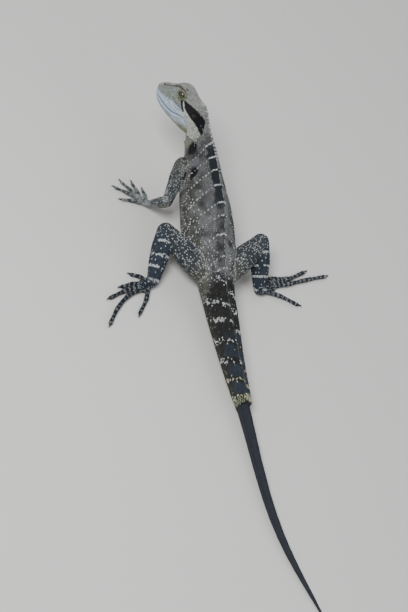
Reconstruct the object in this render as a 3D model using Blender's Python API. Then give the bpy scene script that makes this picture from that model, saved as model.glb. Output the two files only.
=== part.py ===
"""Australian water dragon, Intellagama lesueurii: a still, life-size model.

The adult rests on a flat floor with its chest raised on its arms and its head held up and
turned to its left. Its own tail ends in a break, and a plain regrown length follows.
X runs forward, Y to the animal's left and Z up. Lengths are in millimetres until MM
turns them into metres, and angles are in degrees.
"""
import math
import random

import bmesh
import bpy
from mathutils import Matrix, Vector

MM = 0.001
GAP = 0.3                       # between nodes that touch

# Spine stations from the neck to the tip of the tail: the centre of each cross-section,
# its half width, its rise to the ridge, its drop to the belly, how sharp the ridge is,
# and the way it faces as yaw to the left, climb and lean to the right.
SPINE = {
    "nape": ((124.5, 12.3, 69.5), 13.2, 13.5, 14.5, 0.10, (26, 20, 25)),
    "neck_base": ((112, 6.7, 58.5), 15.5, 16.0, 17.0, 0.30, (12, 30, 22)),
    "shoulders": ((100, 5.8, 51.0), 18.7, 20.0, 19.0, 0.45, (4, 24, 22)),
    "chest": ((86, 5.4, 45.0), 23.0, 22.5, 20.0, 0.45, (0, 17, 22)),
    "ribs": ((58, 4.0, 36.5), 29.6, 24.0, 20.5, 0.40, (0, 15, 22)),
    "belly": ((28, 3.4, 29.0), 28.0, 22.0, 20.5, 0.38, (0, 13, 13)),
    "hips": ((0, 0.4, 22.5), 18.5, 20.5, 22.8, 0.35, (0, 8, 1)),
    "vent": ((-22, 1.0, 18.6), 15.4, 18.6, 18.9, 0.30, (0, 4, 0)),
    "tail_1": ((-51, 0.7, 16.4), 13.6, 16.6, 16.8, 0.30, (0, 2, 0)),
    "tail_2": ((-78, 0.7, 15.2), 11.2, 15.4, 15.6, 0.30, (1, 2, 0)),
    "tail_3": ((-109, -0.4, 13.3), 8.7, 13.5, 13.7, 0.30, (3, 2, 0)),
    "tail_break": ((-137, -2.9, 10.6), 6.8, 10.6, 11.0, 0.30, (4, 2, 0)),
    "regrown_1": ((-137.6, -2.9, 8.0), 5.5, 8.0, 8.4, 0.10, (4, 1, 0)),
    "regrown_2": ((-160, -4.0, 7.0), 5.0, 7.0, 7.4, 0.10, (3, 1, 0)),
    "regrown_3": ((-196, -5.0, 5.9), 4.4, 5.9, 6.2, 0.05, (4, 0, 0)),
    "regrown_4": ((-235, -7.5, 4.8), 3.9, 4.8, 5.1, 0.0, (8, 0, 0)),
    "regrown_5": ((-268, -12.9, 3.8), 3.4, 3.8, 4.1, 0.0, (13, 0, 0)),
    "regrown_6": ((-300, -22.0, 2.7), 2.6, 2.7, 3.0, 0.0, (17, 0, 0)),
    "regrown_7": ((-330, -32.5, 1.6), 1.6, 1.6, 1.8, 0.0, (19, 0, 0)),
    "regrown_tip": ((-350, -39.5, 0.8), 0.6, 0.6, 0.7, 0.0, (19, 0, 0)),
}

# The head's own frame has its origin between the jaw joints, x along the snout.
HEAD_AT = Vector((131.0, 12.5, 76.0))
HEAD_FACING = (42, -10, 27)
HEAD_STATIONS = (53.4, 52.3, 49.8, 46, 41, 36, 31, 27, 23, 18, 12, 6)
# How far the top of the snout leans forward over the chin at its first stations.
HEAD_LEANS = (0.27, 0.24, 0.14, 0.05, 0, 0, 0, 0, 0, 0, 0, 0)
LEAN_LEVEL = 8.0                # the height at which a leaning station keeps its place
# Lines that run along the head: their place round a section, 0 on the crown and 0.5
# under the throat, then half width and height at each of the stations above.
HEAD_LINES = (
    ("crown", 0.0, (0,) * 12,
     (11.6, 14.4, 16.6, 18.4, 20.6, 23.4, 25.1, 25.2, 24.2, 22.6, 20.6, 18.6)),
    ("brow", 0.11, (2.6, 4.3, 5.4, 5.9, 6.8, 8.4, 10.0, 10.9, 10.8, 9.9, 9.0, 8.5),
     (11.3, 14.0, 16.4, 18.4, 21.0, 24.6, 26.4, 26.2, 24.6, 22.0, 19.6, 17.6)),
    ("lore", 0.17, (3.2, 5.2, 6.5, 7.0, 7.7, 8.8, 10.2, 11.2, 11.8, 12.4, 12.6, 12.4),
     (10.4, 12.0, 13.8, 15.2, 16.6, 18.0, 19.6, 20.2, 19.8, 18.6, 17.0, 15.2)),
    ("cheek", 0.25, (3.4, 5.6, 7.4, 8.5, 9.9, 11.4, 13.0, 14.2, 15.2, 16.2, 16.9, 16.6),
     (8.9, 9.8, 10.3, 10.5, 10.5, 10.3, 10.2, 10.2, 10.2, 10, 9.2, 7.6)),
    ("upper_lip", 0.312, (3.0, 5.2, 7.5, 9.2, 11, 12.6, 14, 15, 15.8, 16.8, 17.3, 16.8),
     (7.2, 7.0, 6.4, 5.6, 4.2, 3.1, 2.4, 2.3, 2.8, 4.0, 4.6, 3.6)),
    ("mouth", 0.335, (2.6, 4.4, 6.0, 7.5, 9.2, 10.7, 12.1, 13.1, 14.0, 15.7, 17.2, 16.9),
     (6.4, 5.7, 5.0, 4.0, 2.5, 1.4, 0.7, 0.6, 1.1, 2.4, 2.9, 1.8)),
    ("lower_lip", 0.355, (2.6, 4.5, 6.9, 8.7, 10.5, 12.1, 13.5, 14.5, 15.3, 16.5, 17.3, 16.8),
     (5.4, 4.4, 3.4, 2.4, 0.8, -0.3, -1.0, -1.1, -0.6, 0.6, 1.2, 0.0)),
    ("jaw", 0.41, (2.0, 3.7, 5.8, 7.6, 9.4, 10.9, 12.2, 13.2, 14.0, 15.2, 16.2, 15.9),
     (4.1, 2.8, 1.5, 0.2, -1.5, -2.8, -3.8, -4.4, -4.6, -4.8, -5.0, -5.6)),
    ("jaw_edge", 0.455, (1.1, 2.0, 3.4, 4.8, 6.2, 7.4, 8.6, 9.4, 10.2, 11.0, 11.2, 10.2),
     (3.5, 2.0, 0.4, -1.3, -3.3, -4.8, -6.0, -6.8, -7.5, -8.4, -9.6, -10.6)),
    ("throat", 0.5, (0,) * 12,
     (3.3, 1.7, -0.1, -2.0, -4.0, -5.4, -6.6, -7.4, -8.2, -9.4, -11, -12.4)),
)
EYE_AT = Vector((26.3, 9.0, 19.0))
EYE_FACING = Vector((0.12, 1.0, 0.10))
EYE_RADIUS = 4.2
LID_OPENING = (3.3, 2.1)        # half the length and height of the opening between the lids
LID_BREADTH = 1.5               # half the width of the band of lid round the opening
LID_THICKNESS = 0.85            # half the band's thickness, where it lies on the eyeball
LID_TILT = 8                    # how much higher the opening's rear corner is
# Places on the skin: stations counted from the snout, and the turn round the section.
NOSTRIL_PLACE = (2.75, 0.132)
NOSTRIL_RADIUS = 1.05
EAR_PLACE = (11.05, 0.225)
EAR_RADIUS = 2.6
EAR_DEPTH = 1.1

# The flesh of the limbs: share of the way between two joints, half width, half height.
THIGH = ((0, 11.0, 12.0), (0.3, 12.4, 13.0), (0.6, 11.2, 11.8), (0.85, 9.0, 9.4), (1, 8.2, 8.4))
SHANK = ((0, 8.2, 8.4), (0.25, 9.1, 9.1), (0.5, 9.1, 8.8), (0.8, 7.4, 6.8), (1, 5.7, 5.2))
UPPER_ARM = ((0, 8.2, 8.8), (0.3, 7.8, 8.2), (0.6, 6.4, 6.6), (0.85, 5.6, 5.7), (1, 5.4, 5.4))
FOREARM = ((0, 5.4, 5.4), (0.3, 5.6, 5.5), (0.6, 4.7, 4.6), (0.85, 3.9, 3.8), (1, 3.7, 3.5))
INSTEP = ((0, 5.4, 5.0), (0.35, 5.4, 4.5), (0.7, 6.3, 3.8), (1, 6.6, 3.2))
PALM = ((0, 3.7, 3.5), (0.4, 4.4, 3.2), (1, 5.0, 2.8))
LEGS = {
    "left": {
        "hip": (0, 12.5, 22), "knee": (37.8, 48.3, 31.0), "ankle": (-2.9, 59.4, 6.2),
        "instep": (-8.0, 71.0, 3.1),
        "toes": (
            ((-1.0, 64.0, 3.2), (3.6, 70.0, 2.8), (6.0, 77.5, 1.75)),
            ((-4.5, 70.0, 3.2), (-5.0, 79.0, 2.8), (-8.0, 90.0, 1.75)),
            ((-8.0, 72.0, 3.2), (-12.0, 86.0, 2.9), (-21.0, 104.0, 1.75)),
            ((-10.5, 72.0, 3.2), (-18.5, 86.0, 2.9), (-32.0, 99.0, 2.5), (-49.0, 109.5, 1.75)),
            ((-8.5, 64.0, 3.4), (-20.0, 68.0, 3.0), (-36.5, 77.5, 1.75)),
        ),
    },
    "right": {
        "hip": (0, -11.7, 22), "knee": (33.8, -52.0, 30.6), "ankle": (-5.2, -53.0, 6.2),
        "instep": (1.6, -68.0, 3.1),
        "toes": (
            ((4.0, -59.5, 3.2), (9.8, -66.0, 2.8), (12.6, -74.0, 1.75)),
            ((4.6, -66.5, 3.2), (10.5, -77.5, 2.8), (13.6, -90.5, 1.75)),
            ((4.2, -69.5, 3.2), (10.6, -87.0, 2.9), (22.0, -111.0, 1.75)),
            ((1.8, -70.0, 3.2), (5.8, -88.0, 2.9), (12.4, -110.0, 2.5), (18.5, -133.5, 1.75)),
            ((-4.8, -60.5, 3.4), (-8.2, -75.0, 3.0), (-16.5, -93.5, 1.75)),
        ),
    },
}
ARMS = {
    "left": {
        "shoulder": (103, 24.5, 49.0), "elbow": (72.5, 39.0, 30.0), "wrist": (87.0, 45.5, 5.4),
        "palm": (93.5, 51.0, 2.8),
        "fingers": (
            ((91.5, 46.5, 2.8), (99.0, 45.0, 2.6), (105.0, 46.0, 1.4)),
            ((94.5, 49.5, 2.8), (104.0, 53.0, 2.6), (112.5, 55.5, 1.4)),
            ((95.0, 52.0, 2.8), (104.5, 60.0, 2.6), (113.0, 66.5, 1.4)),
            ((93.5, 53.5, 2.8), (100.5, 64.0, 2.6), (106.0, 74.0, 1.4)),
            ((89.5, 52.5, 2.8), (91.5, 61.5, 2.6), (92.5, 69.5, 1.4)),
        ),
    },
    "right": {
        "shoulder": (99, -5.5, 40.5), "elbow": (73.5, -25.5, 24.0), "wrist": (90.0, -22.0, 5.4),
        "palm": (98.0, -23.5, 2.8),
        "fingers": (
            ((96.5, -19.3, 2.8), (103.5, -16.3, 2.6), (109.5, -15.5, 1.4)),
            ((99.5, -21.5, 2.8), (109.0, -21.4, 2.6), (118.0, -22.0, 1.4)),
            ((100.0, -24.0, 2.8), (111.0, -27.0, 2.6), (121.5, -29.0, 1.4)),
            ((98.5, -26.0, 2.8), (107.5, -32.0, 2.6), (116.0, -38.0, 1.4)),
            ((95.0, -27.0, 2.8), (98.0, -35.0, 2.6), (102.0, -41.0, 1.4)),
        ),
    },
}
TOE_RADII = (2.5, 1.9)          # at the root, and before the claw
FINGER_RADII = (2.1, 1.55)
CLAW = ((0.3, 0.2, 0.62), (1.6, 0.7, 0.55), (3.0, 0.5, 0.36), (4.4, -0.7, 0.14))

# Rows of spines: first and last place on the spine, turn round the section, number,
# height at the ends and in the middle, half width, and lean towards the tail.
HEAD_ROWS = (
    ((10.6, 11.6), 0.0, 3, (3.0, 4.0), 0.85, 18),
    ((10.9, 11.6), 0.14, 2, (1.3, 1.5), 0.65, 45),
    ((10.9, 11.6), -0.14, 2, (1.3, 1.5), 0.65, 45),
)
NECK_ROWS = (
    ((12.0, 13.1), 0.0, 5, (4.6, 5.2), 0.9, 16),
    ((12.1, 13.0), 0.12, 4, (1.4, 1.6), 0.65, 45),
    ((12.1, 13.0), -0.12, 4, (1.4, 1.6), 0.65, 45),
)
TORSO_ROWS = (
    ((13.45, 15.2), 0.0, 9, (3.6, 2.6), 0.85, 30),
    ((15.4, 18.9), 0.0, 24, (1.6, 1.4), 0.75, 50),
)
TAIL_BASE_ROWS = (((19.15, 20.9), 0.0, 15, (1.6, 1.9), 0.75, 50),)
TAIL_MIDDLE_ROWS = (((21.15, 22.8), 0.0, 15, (1.8, 1.5), 0.75, 50),)
FRINGE = (22.86, 14, 2.0, 0.8, 62)       # place, number, height, half width, lean
SPINE_ROOT = 1.3                # how deep a spine's root is sunk
SPINE_STRETCH = 1.35            # a spine is longer along the body than across it

NAPE_CUT = 11.82                # where the head ends and the neck begins

STEP = {"head": 3.0, "neck": 4.0, "torso": 5.0, "tail": 7.0, "regrown": 10.0}
HEAD_TURNS = (0, 0.055, 0.11, 0.14, 0.17, 0.21, 0.25, 0.285, 0.312, 0.325, 0.335, 0.345,
              0.355, 0.38, 0.41, 0.455, 0.5)


def facing(yaw, climb, lean):
    """Forward, left and up of a section that faces yaw to the left and leans to the right."""
    yaw, climb, lean = (math.radians(angle) for angle in (yaw, climb, lean))
    forward = Vector((math.cos(climb) * math.cos(yaw), math.cos(climb) * math.sin(yaw),
                      math.sin(climb)))
    level = Vector((-math.sin(yaw), math.cos(yaw), 0))
    rise = forward.cross(level)
    left = level * math.cos(lean) + rise * math.sin(lean)
    up = rise * math.cos(lean) - level * math.sin(lean)
    return forward, left, up


def smooth(points, gaps, place):
    """A smooth curve through points with the given gaps between them; place counts points."""
    last = len(points) - 1
    start = max(0, min(int(place), last - 1))
    slopes = []
    for index in (start, start + 1):
        if index == 0:
            slope = (points[1] - points[0]) / gaps[0]
        elif index == last:
            slope = (points[last] - points[last - 1]) / gaps[last - 1]
        else:
            before = (points[index] - points[index - 1]) / gaps[index - 1]
            after = (points[index + 1] - points[index]) / gaps[index]
            slope = (before * gaps[index] + after * gaps[index - 1]) / (gaps[index - 1] + gaps[index])
        slopes.append(slope * gaps[start])
    t = place - start
    return (points[start] * (2 * t ** 3 - 3 * t ** 2 + 1) + slopes[0] * (t ** 3 - 2 * t ** 2 + t)
            + points[start + 1] * (3 * t ** 2 - 2 * t ** 3) + slopes[1] * (t ** 3 - t ** 2))


def oval_point(station, turn, grow):
    """A point of a trunk or tail section; turn runs from the ridge round by the left."""
    centre, half_width, rise, drop, ridge, angles = SPINE[station]
    _, left, up = facing(*angles)
    side = math.sin(2 * math.pi * turn)
    height = math.cos(2 * math.pi * turn)
    if height > 0:
        side = math.copysign(abs(side) ** (1 + ridge), side)
    reach = (rise if height > 0 else drop) + grow
    return Vector(centre) + left * side * (half_width + grow) + up * height * reach


def head_point(number, turn):
    """A point of a head section, on a smooth curve across the head's lines."""
    turn = turn % 1
    mirror = 1 if turn <= 0.5 else -1
    turn = min(turn, 1 - turn)
    flat = [Vector((line[2][number], line[3][number])) for line in HEAD_LINES]
    turns = [line[1] for line in HEAD_LINES]
    gaps = [after - before for before, after in zip(turns, turns[1:])]
    start = max(index for index, value in enumerate(turns[:-1]) if value <= turn)
    point = smooth(flat, gaps, start + (turn - turns[start]) / gaps[start])
    forward, left, up = facing(*HEAD_FACING)
    ahead = HEAD_STATIONS[number] + HEAD_LEANS[number] * (point.y - LEAN_LEVEL)
    return HEAD_AT + forward * ahead + left * point.x * mirror + up * point.y


class Skin:
    """The surface of the spine: a smooth loft through its sections, from front to back."""

    def __init__(self, stations, with_head, grow=0.0):
        self.stations = stations
        self.heads = len(HEAD_STATIONS) if with_head else 0
        self.grow = grow
        self.count = self.heads + len(stations)
        middles = []
        for index in range(self.count):
            middles.append((self.key(index, 0.25) + self.key(index, 0.75)) / 2)
        self.gaps = [(after - before).length for before, after in zip(middles, middles[1:])]

    def key(self, index, turn):
        if index < self.heads:
            return head_point(index, turn)
        return oval_point(self.stations[index - self.heads], turn, self.grow)

    def point(self, place, turn):
        keys = [self.key(index, turn) for index in range(self.count)]
        return smooth(keys, self.gaps, place)

    def ring(self, place, turns):
        return [self.point(place, turn) for turn in turns]

    def places(self, first, last, step):
        """Places from first to last that stand about a step apart and keep every station."""
        places = [first]
        for index in range(int(first), math.ceil(last)):
            begin = max(first, index)
            end = min(last, index + 1)
            pieces = max(1, round(self.gaps[index] * (end - begin) / step))
            for piece in range(1, pieces + 1):
                places.append(begin + (end - begin) * piece / pieces)
        return places

    def frame(self, place, turn):
        """Point, outward direction and tailward direction at a place on the skin."""
        here = self.point(place, turn)
        span = 0.04
        back = (self.point(place + span, turn) - self.point(place - span, turn)).normalized()
        round_way = self.point(place, turn + span) - self.point(place, turn - span)
        outward = round_way.cross(back).normalized()
        middle = (self.point(place, turn + 0.5) + here) / 2
        if outward.dot(here - middle) < 0:
            outward = -outward
        return here, outward, back


def even_turns(count):
    return [step / count for step in range(count)]


def head_turns():
    return list(HEAD_TURNS) + [1 - turn for turn in reversed(HEAD_TURNS[1:-1])]


def loft(name, rings):
    """A closed body through rings of equal count, with a fan of triangles at each end."""
    mesh = bpy.data.meshes.new(name)
    bm = bmesh.new()
    rows = [[bm.verts.new(point * MM) for point in ring] for ring in rings]
    count = len(rings[0])
    for near, far in zip(rows, rows[1:]):
        for step in range(count):
            following = (step + 1) % count
            bm.faces.new((near[step], near[following], far[following], far[step]))
    for row in (rows[0], rows[-1]):
        middle = bm.verts.new(sum((vert.co for vert in row), Vector()) / count)
        for step in range(count):
            bm.faces.new((row[step], row[(step + 1) % count], middle))
    bmesh.ops.recalc_face_normals(bm, faces=bm.faces)
    bm.to_mesh(mesh)
    bm.free()
    node = bpy.data.objects.new(name, mesh)
    bpy.context.scene.collection.objects.link(node)
    return node


def spine_node(name, skin, first, last, step, turns, trim=(True, True)):
    """The stretch of the spine between two places, with half a gap off each cut end."""
    places = skin.places(first, last, step)
    rings = [skin.ring(place, turns) for place in places]
    for cut, row, other in zip(trim, (0, -1), (1, -2)):
        if cut:
            inward = sum(rings[other], Vector()) - sum(rings[row], Vector())
            inward.normalize()
            rings[row] = [point + inward * GAP / 2 for point in rings[row]]
    return loft(name, rings)


def limb_rings(start, end, profile, count, steps=6):
    """Rings of a limb from joint to joint, with a round end beyond each joint."""
    start, end = Vector(start), Vector(end)
    way = (end - start).normalized()
    side = way.cross(Vector((0, 0, 1))).normalized()
    up = side.cross(way)
    shares = [row[0] for row in profile]
    gaps = [after - before for before, after in zip(shares, shares[1:])]
    sizes = [Vector((row[1], row[2])) for row in profile]
    rings = []

    def add(centre, size, scale):
        ring = []
        for turn in even_turns(count):
            angle = 2 * math.pi * turn
            ring.append(centre + side * math.sin(angle) * size.x * scale
                        + up * math.cos(angle) * size.y * scale)
        rings.append(ring)

    for angle in (75, 40):
        reach = sizes[0].x * math.sin(math.radians(angle))
        add(start - way * reach, sizes[0], math.cos(math.radians(angle)))
    for step in range(steps + 1):
        share = step / steps
        index = max(number for number, value in enumerate(shares[:-1]) if value <= share)
        size = smooth(sizes, gaps, index + (share - shares[index]) / gaps[index])
        add(start.lerp(end, share), size, 1)
    for angle in (40, 75):
        reach = sizes[-1].x * math.sin(math.radians(angle))
        add(end + way * reach, sizes[-1], math.cos(math.radians(angle)))
    return rings


def digit_rings(points, radii, count):
    """Rings of a toe or finger along its points, with a claw that hooks down at its end."""
    points = [Vector(point) for point in points]
    gaps = [(after - before).length for before, after in zip(points, points[1:])]
    length = sum(gaps)
    steps = max(4, round(length / 6))
    centres = []
    sizes = []
    for step in range(steps + 1):
        place = (len(points) - 1) * step / steps
        centres.append(smooth(points, gaps, place))
        share = step / steps
        knuckle = 1 + 0.07 * math.cos(2 * math.pi * share * (len(points) - 1))
        sizes.append((radii[0] + (radii[1] - radii[0]) * share) * knuckle)
    way = (centres[-1] - centres[-2]).normalized()
    way.z = 0
    way.normalize()
    for ahead, above, size in CLAW:
        centres.append(points[-1] + way * (radii[1] + ahead) * 0.8 + Vector((0, 0, above)))
        sizes.append(radii[1] * size)
    rings = []
    for index, (centre, size) in enumerate(zip(centres, sizes)):
        ahead = centres[min(index + 1, len(centres) - 1)] - centres[max(index - 1, 0)]
        side = ahead.cross(Vector((0, 0, 1))).normalized()
        up = side.cross(ahead).normalized()
        ring = []
        for turn in even_turns(count):
            angle = 2 * math.pi * (turn + 0.5 / count)
            ring.append(centre + side * math.sin(angle) * size + up * math.cos(angle) * size)
        rings.append(ring)
    return rings


def baked(node):
    """Applies the node's modifiers to its mesh."""
    graph = bpy.context.evaluated_depsgraph_get()
    mesh = bpy.data.meshes.new_from_object(node.evaluated_get(graph))
    node.modifiers.clear()
    old = node.data
    node.data = mesh
    bpy.data.meshes.remove(old)


def keep_largest(node):
    """Keeps the largest closed surface of the node's mesh."""
    bm = bmesh.new()
    bm.from_mesh(node.data)
    unseen = set(bm.verts)
    islands = []
    while unseen:
        stack = [unseen.pop()]
        island = set(stack)
        while stack:
            for edge in stack.pop().link_edges:
                for vert in edge.verts:
                    if vert in unseen:
                        unseen.discard(vert)
                        island.add(vert)
                        stack.append(vert)
        islands.append(island)
    largest = max(islands, key=spread)
    scraps = [vert for vert in bm.verts if vert not in largest]
    bmesh.ops.delete(bm, geom=scraps, context="VERTS")
    bm.to_mesh(node.data)
    bm.free()


def spread(verts):
    """The diagonal of the box round some vertices."""
    low = Vector((min(vert.co[axis] for vert in verts) for axis in range(3)))
    high = Vector((max(vert.co[axis] for vert in verts) for axis in range(3)))
    return (high - low).length


def combine(node, pieces, operation="UNION"):
    """Joins a node with its pieces, or cuts them from it, and removes the pieces."""
    group = bpy.data.collections.new(node.name + "_pieces")
    for piece in pieces:
        group.objects.link(piece)
    step = node.modifiers.new("combine", "BOOLEAN")
    step.operation = operation
    step.operand_type = "COLLECTION"
    step.collection = group
    step.solver = "EXACT"
    baked(node)
    for piece in pieces:
        bpy.data.objects.remove(piece)
    bpy.data.collections.remove(group)
    keep_largest(node)


def slice_off(node, point, normal):
    """Cuts away what lies past a plane and closes the cut with a flat face."""
    bm = bmesh.new()
    bm.from_mesh(node.data)
    everything = bm.verts[:] + bm.edges[:] + bm.faces[:]
    cut = bmesh.ops.bisect_plane(bm, geom=everything, dist=1e-7, plane_co=Vector(point) * MM,
                                 plane_no=normal, clear_outer=True)
    rim = [item for item in cut["geom_cut"] if isinstance(item, bmesh.types.BMEdge)]
    if rim:
        bmesh.ops.triangle_fill(bm, edges=rim, use_beauty=True, use_dissolve=False,
                                normal=normal)
    bmesh.ops.recalc_face_normals(bm, faces=bm.faces)
    bm.to_mesh(node.data)
    bm.free()


def slice_joint(near, far, joint, before, after):
    """Parts two limb nodes at the plane that halves the bend of their joint."""
    joint = Vector(joint)
    way_in = (joint - Vector(before)).normalized()
    way_out = (Vector(after) - joint).normalized()
    normal = (way_in + way_out).normalized()
    slice_off(near, joint - normal * GAP / 2, normal)
    slice_off(far, joint + normal * GAP / 2, -normal)


def rest_on_floor(node):
    """Gives a node that dips below the floor its flat at floor level."""
    if min(vert.co.z for vert in node.data.vertices) < 0:
        slice_off(node, (0, 0, 0), Vector((0, 0, -1)))


def spine(root, outward, back, height, half_width, lean):
    """One tapered spine, longer along the body than across, that leans to the tail."""
    tilt = math.radians(lean)
    point_way = (outward * math.cos(tilt) + back * math.sin(tilt)).normalized()
    along = (back - point_way * back.dot(point_way)).normalized()
    across = point_way.cross(along)
    length = height + SPINE_ROOT
    mesh = bpy.data.meshes.new("spine")
    bm = bmesh.new()
    bmesh.ops.create_cone(bm, cap_ends=True, cap_tris=True, segments=4, depth=length,
                          radius1=half_width * 1.4, radius2=0.09)
    turn = Matrix((across, along * SPINE_STRETCH, point_way)).transposed().to_4x4()
    centre = root + point_way * (length / 2 - SPINE_ROOT)
    bm.transform(Matrix.Scale(MM, 4) @ Matrix.Translation(centre) @ turn)
    bmesh.ops.recalc_face_normals(bm, faces=bm.faces)
    bm.to_mesh(mesh)
    bm.free()
    piece = bpy.data.objects.new("spine", mesh)
    bpy.context.scene.collection.objects.link(piece)
    return piece


def spine_row(skin, row, draw):
    """The spines of one row, each a little different from its neighbours."""
    (first, last), turn, number, (ends, middle), half_width, lean = row
    pieces = []
    for step in range(number):
        share = step / (number - 1)
        height = ends + (middle - ends) * math.sin(math.pi * share)
        height *= draw.uniform(0.88, 1.12)
        place = first + (last - first) * share
        root, outward, back = skin.frame(place, turn)
        pieces.append(spine(root, outward, back, height, half_width, lean + draw.uniform(-5, 5)))
    return pieces


def fringe_spines(skin, draw):
    """The ring of spinose scales where the tail once broke."""
    place, number, height, half_width, lean = FRINGE
    pieces = []
    for step in range(number):
        turn = 0.36 * (2 * step / (number - 1) - 1)
        root, outward, back = skin.frame(place, turn)
        tall = height * draw.uniform(0.85, 1.15)
        pieces.append(spine(root, outward, back, tall, half_width, lean))
    return pieces


def in_head(point, side=1):
    """A point given in the head's frame, mirrored for the right side."""
    forward, left, up = facing(*HEAD_FACING)
    return HEAD_AT + forward * point[0] + left * point[1] * side + up * point[2]


def head_way(way, side=1):
    return (in_head(way, side) - HEAD_AT).normalized()


def ball(name, centre, radius, segments=20, rings=12):
    mesh = bpy.data.meshes.new(name)
    bm = bmesh.new()
    bmesh.ops.create_uvsphere(bm, u_segments=segments, v_segments=rings, radius=radius)
    bm.transform(Matrix.Scale(MM, 4) @ Matrix.Translation(centre))
    bm.to_mesh(mesh)
    bm.free()
    node = bpy.data.objects.new(name, mesh)
    bpy.context.scene.collection.objects.link(node)
    return node


def lid_ring(side):
    """Both eyelids: a band that lies on the eyeball round an almond opening."""
    _, _, up = facing(*HEAD_FACING)
    axis = head_way(EYE_FACING, side)
    level = up.cross(axis).normalized()
    upright = axis.cross(level)
    centre = in_head(EYE_AT, side)
    tilt = math.radians(LID_TILT) * -side
    radius = EYE_RADIUS + GAP + LID_THICKNESS * 0.4
    rings = []
    for turn in even_turns(24):
        angle = 2 * math.pi * turn
        along = (LID_OPENING[0] + LID_BREADTH) * math.cos(angle)
        high = (LID_OPENING[1] + LID_BREADTH) * math.sin(angle)
        spoke = (level * (along * math.cos(tilt) - high * math.sin(tilt))
                 + upright * (along * math.sin(tilt) + high * math.cos(tilt)))
        reach = min(spoke.length, radius * 0.97)
        outward = (axis * math.sqrt(radius ** 2 - reach ** 2) + spoke.normalized() * reach) / radius
        slope = (spoke.normalized() - outward * outward.dot(spoke.normalized())).normalized()
        ring = []
        for step in even_turns(8):
            swing = 2 * math.pi * step
            ring.append(centre + outward * (radius + LID_THICKNESS * math.sin(swing))
                        + slope * LID_BREADTH * math.cos(swing))
        rings.append(ring)
    return ring_body("lids", rings)


def ring_body(name, rings):
    """A closed ring through rows of points, such as the rim of the lids."""
    mesh = bpy.data.meshes.new(name)
    bm = bmesh.new()
    rows = [[bm.verts.new(point * MM) for point in ring] for ring in rings]
    for near, far in zip(rows, rows[1:] + rows[:1]):
        for step in range(len(near)):
            following = (step + 1) % len(near)
            bm.faces.new((near[step], near[following], far[following], far[step]))
    bmesh.ops.recalc_face_normals(bm, faces=bm.faces)
    bm.to_mesh(mesh)
    bm.free()
    node = bpy.data.objects.new(name, mesh)
    bpy.context.scene.collection.objects.link(node)
    return node


def ear_cutter(skin, side):
    """A shallow round drum that sinks the ear into the side of the head."""
    place, turn = EAR_PLACE
    root, outward, back = skin.frame(place, turn * side)
    across = outward.cross(back).normalized()
    mesh = bpy.data.meshes.new("ear_cutter")
    bm = bmesh.new()
    bmesh.ops.create_cone(bm, cap_ends=True, segments=12, depth=4, radius1=EAR_RADIUS * 0.8,
                          radius2=EAR_RADIUS * 1.2)
    turned = Matrix((back, across, outward)).transposed().to_4x4()
    bm.transform(Matrix.Scale(MM, 4) @ Matrix.Translation(root + outward * (2 - EAR_DEPTH)) @ turned)
    bm.to_mesh(mesh)
    bm.free()
    cutter = bpy.data.objects.new("ear_cutter", mesh)
    bpy.context.scene.collection.objects.link(cutter)
    return cutter


def make_head(skin, draw):
    head = spine_node("head", skin, 0, NAPE_CUT, STEP["head"], head_turns(), trim=(False, True))
    spines = [piece for row in HEAD_ROWS for piece in spine_row(skin, row, draw)]
    combine(head, [lid_ring(1), lid_ring(-1)] + spines)
    cutters = []
    for side, name in ((1, "left"), (-1, "right")):
        eye_centre = in_head(EYE_AT, side)
        cutters.append(ball("socket_" + name, eye_centre, EYE_RADIUS + GAP))
        root, _, _ = skin.frame(NOSTRIL_PLACE[0], NOSTRIL_PLACE[1] * side)
        cutters.append(ball("nostril_" + name, root, NOSTRIL_RADIUS, 8, 6))
        cutters.append(ear_cutter(skin, side))
    combine(head, cutters, "DIFFERENCE")
    eyes = []
    for side, name in ((1, "left"), (-1, "right")):
        eyes.append(ball("eye_" + name, in_head(EYE_AT, side), EYE_RADIUS))
    return head, eyes


def make_spine_nodes(skin, tail_skin, draw):
    neck = spine_node("neck", skin, NAPE_CUT, 13.25, STEP["neck"], even_turns(24))
    torso = spine_node("torso", skin, 13.25, 19, STEP["torso"], even_turns(24))
    tail_base = spine_node("tail_base", skin, 19, 21, STEP["tail"], even_turns(20))
    tail_middle = spine_node("tail_middle", skin, 21, 23, STEP["tail"], even_turns(18))
    front = spine_node("tail_regrown_front", tail_skin, 0, 3, STEP["regrown"], even_turns(14))
    tip = spine_node("tail_regrown_tip", tail_skin, 3, 7, STEP["regrown"], even_turns(12),
                     trim=(True, False))
    rows = ((neck, NECK_ROWS), (torso, TORSO_ROWS), (tail_base, TAIL_BASE_ROWS),
            (tail_middle, TAIL_MIDDLE_ROWS))
    for node, node_rows in rows:
        pieces = [piece for row in node_rows for piece in spine_row(skin, row, draw)]
        if node == tail_middle:
            pieces += fringe_spines(skin, draw)
        combine(node, pieces)
    return [neck, torso, tail_base, tail_middle, front, tip]


def make_limb(side, joints, names, profiles, digits, radii, trunk):
    """The three nodes of a limb: its two long parts, and its foot or hand with the digits."""
    upper_name, lower_name, end_name = names
    root, bend, ankle, sole = joints
    upper = loft(upper_name + side, limb_rings(root, bend, profiles[0], 16))
    lower = loft(lower_name + side, limb_rings(bend, ankle, profiles[1], 14))
    foot = loft(end_name + side, limb_rings(ankle, sole, profiles[2], 14, 4))
    slice_joint(upper, lower, bend, root, ankle)
    slice_joint(lower, foot, ankle, bend, sole)
    combine(upper, [copy_of(trunk)], "DIFFERENCE")
    combine(foot, [loft("digit", digit_rings(points, radii, 7)) for points in digits])
    return [upper, lower, foot]


def copy_of(node):
    twin = bpy.data.objects.new(node.name + "_copy", node.data.copy())
    bpy.context.scene.collection.objects.link(twin)
    return twin


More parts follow.
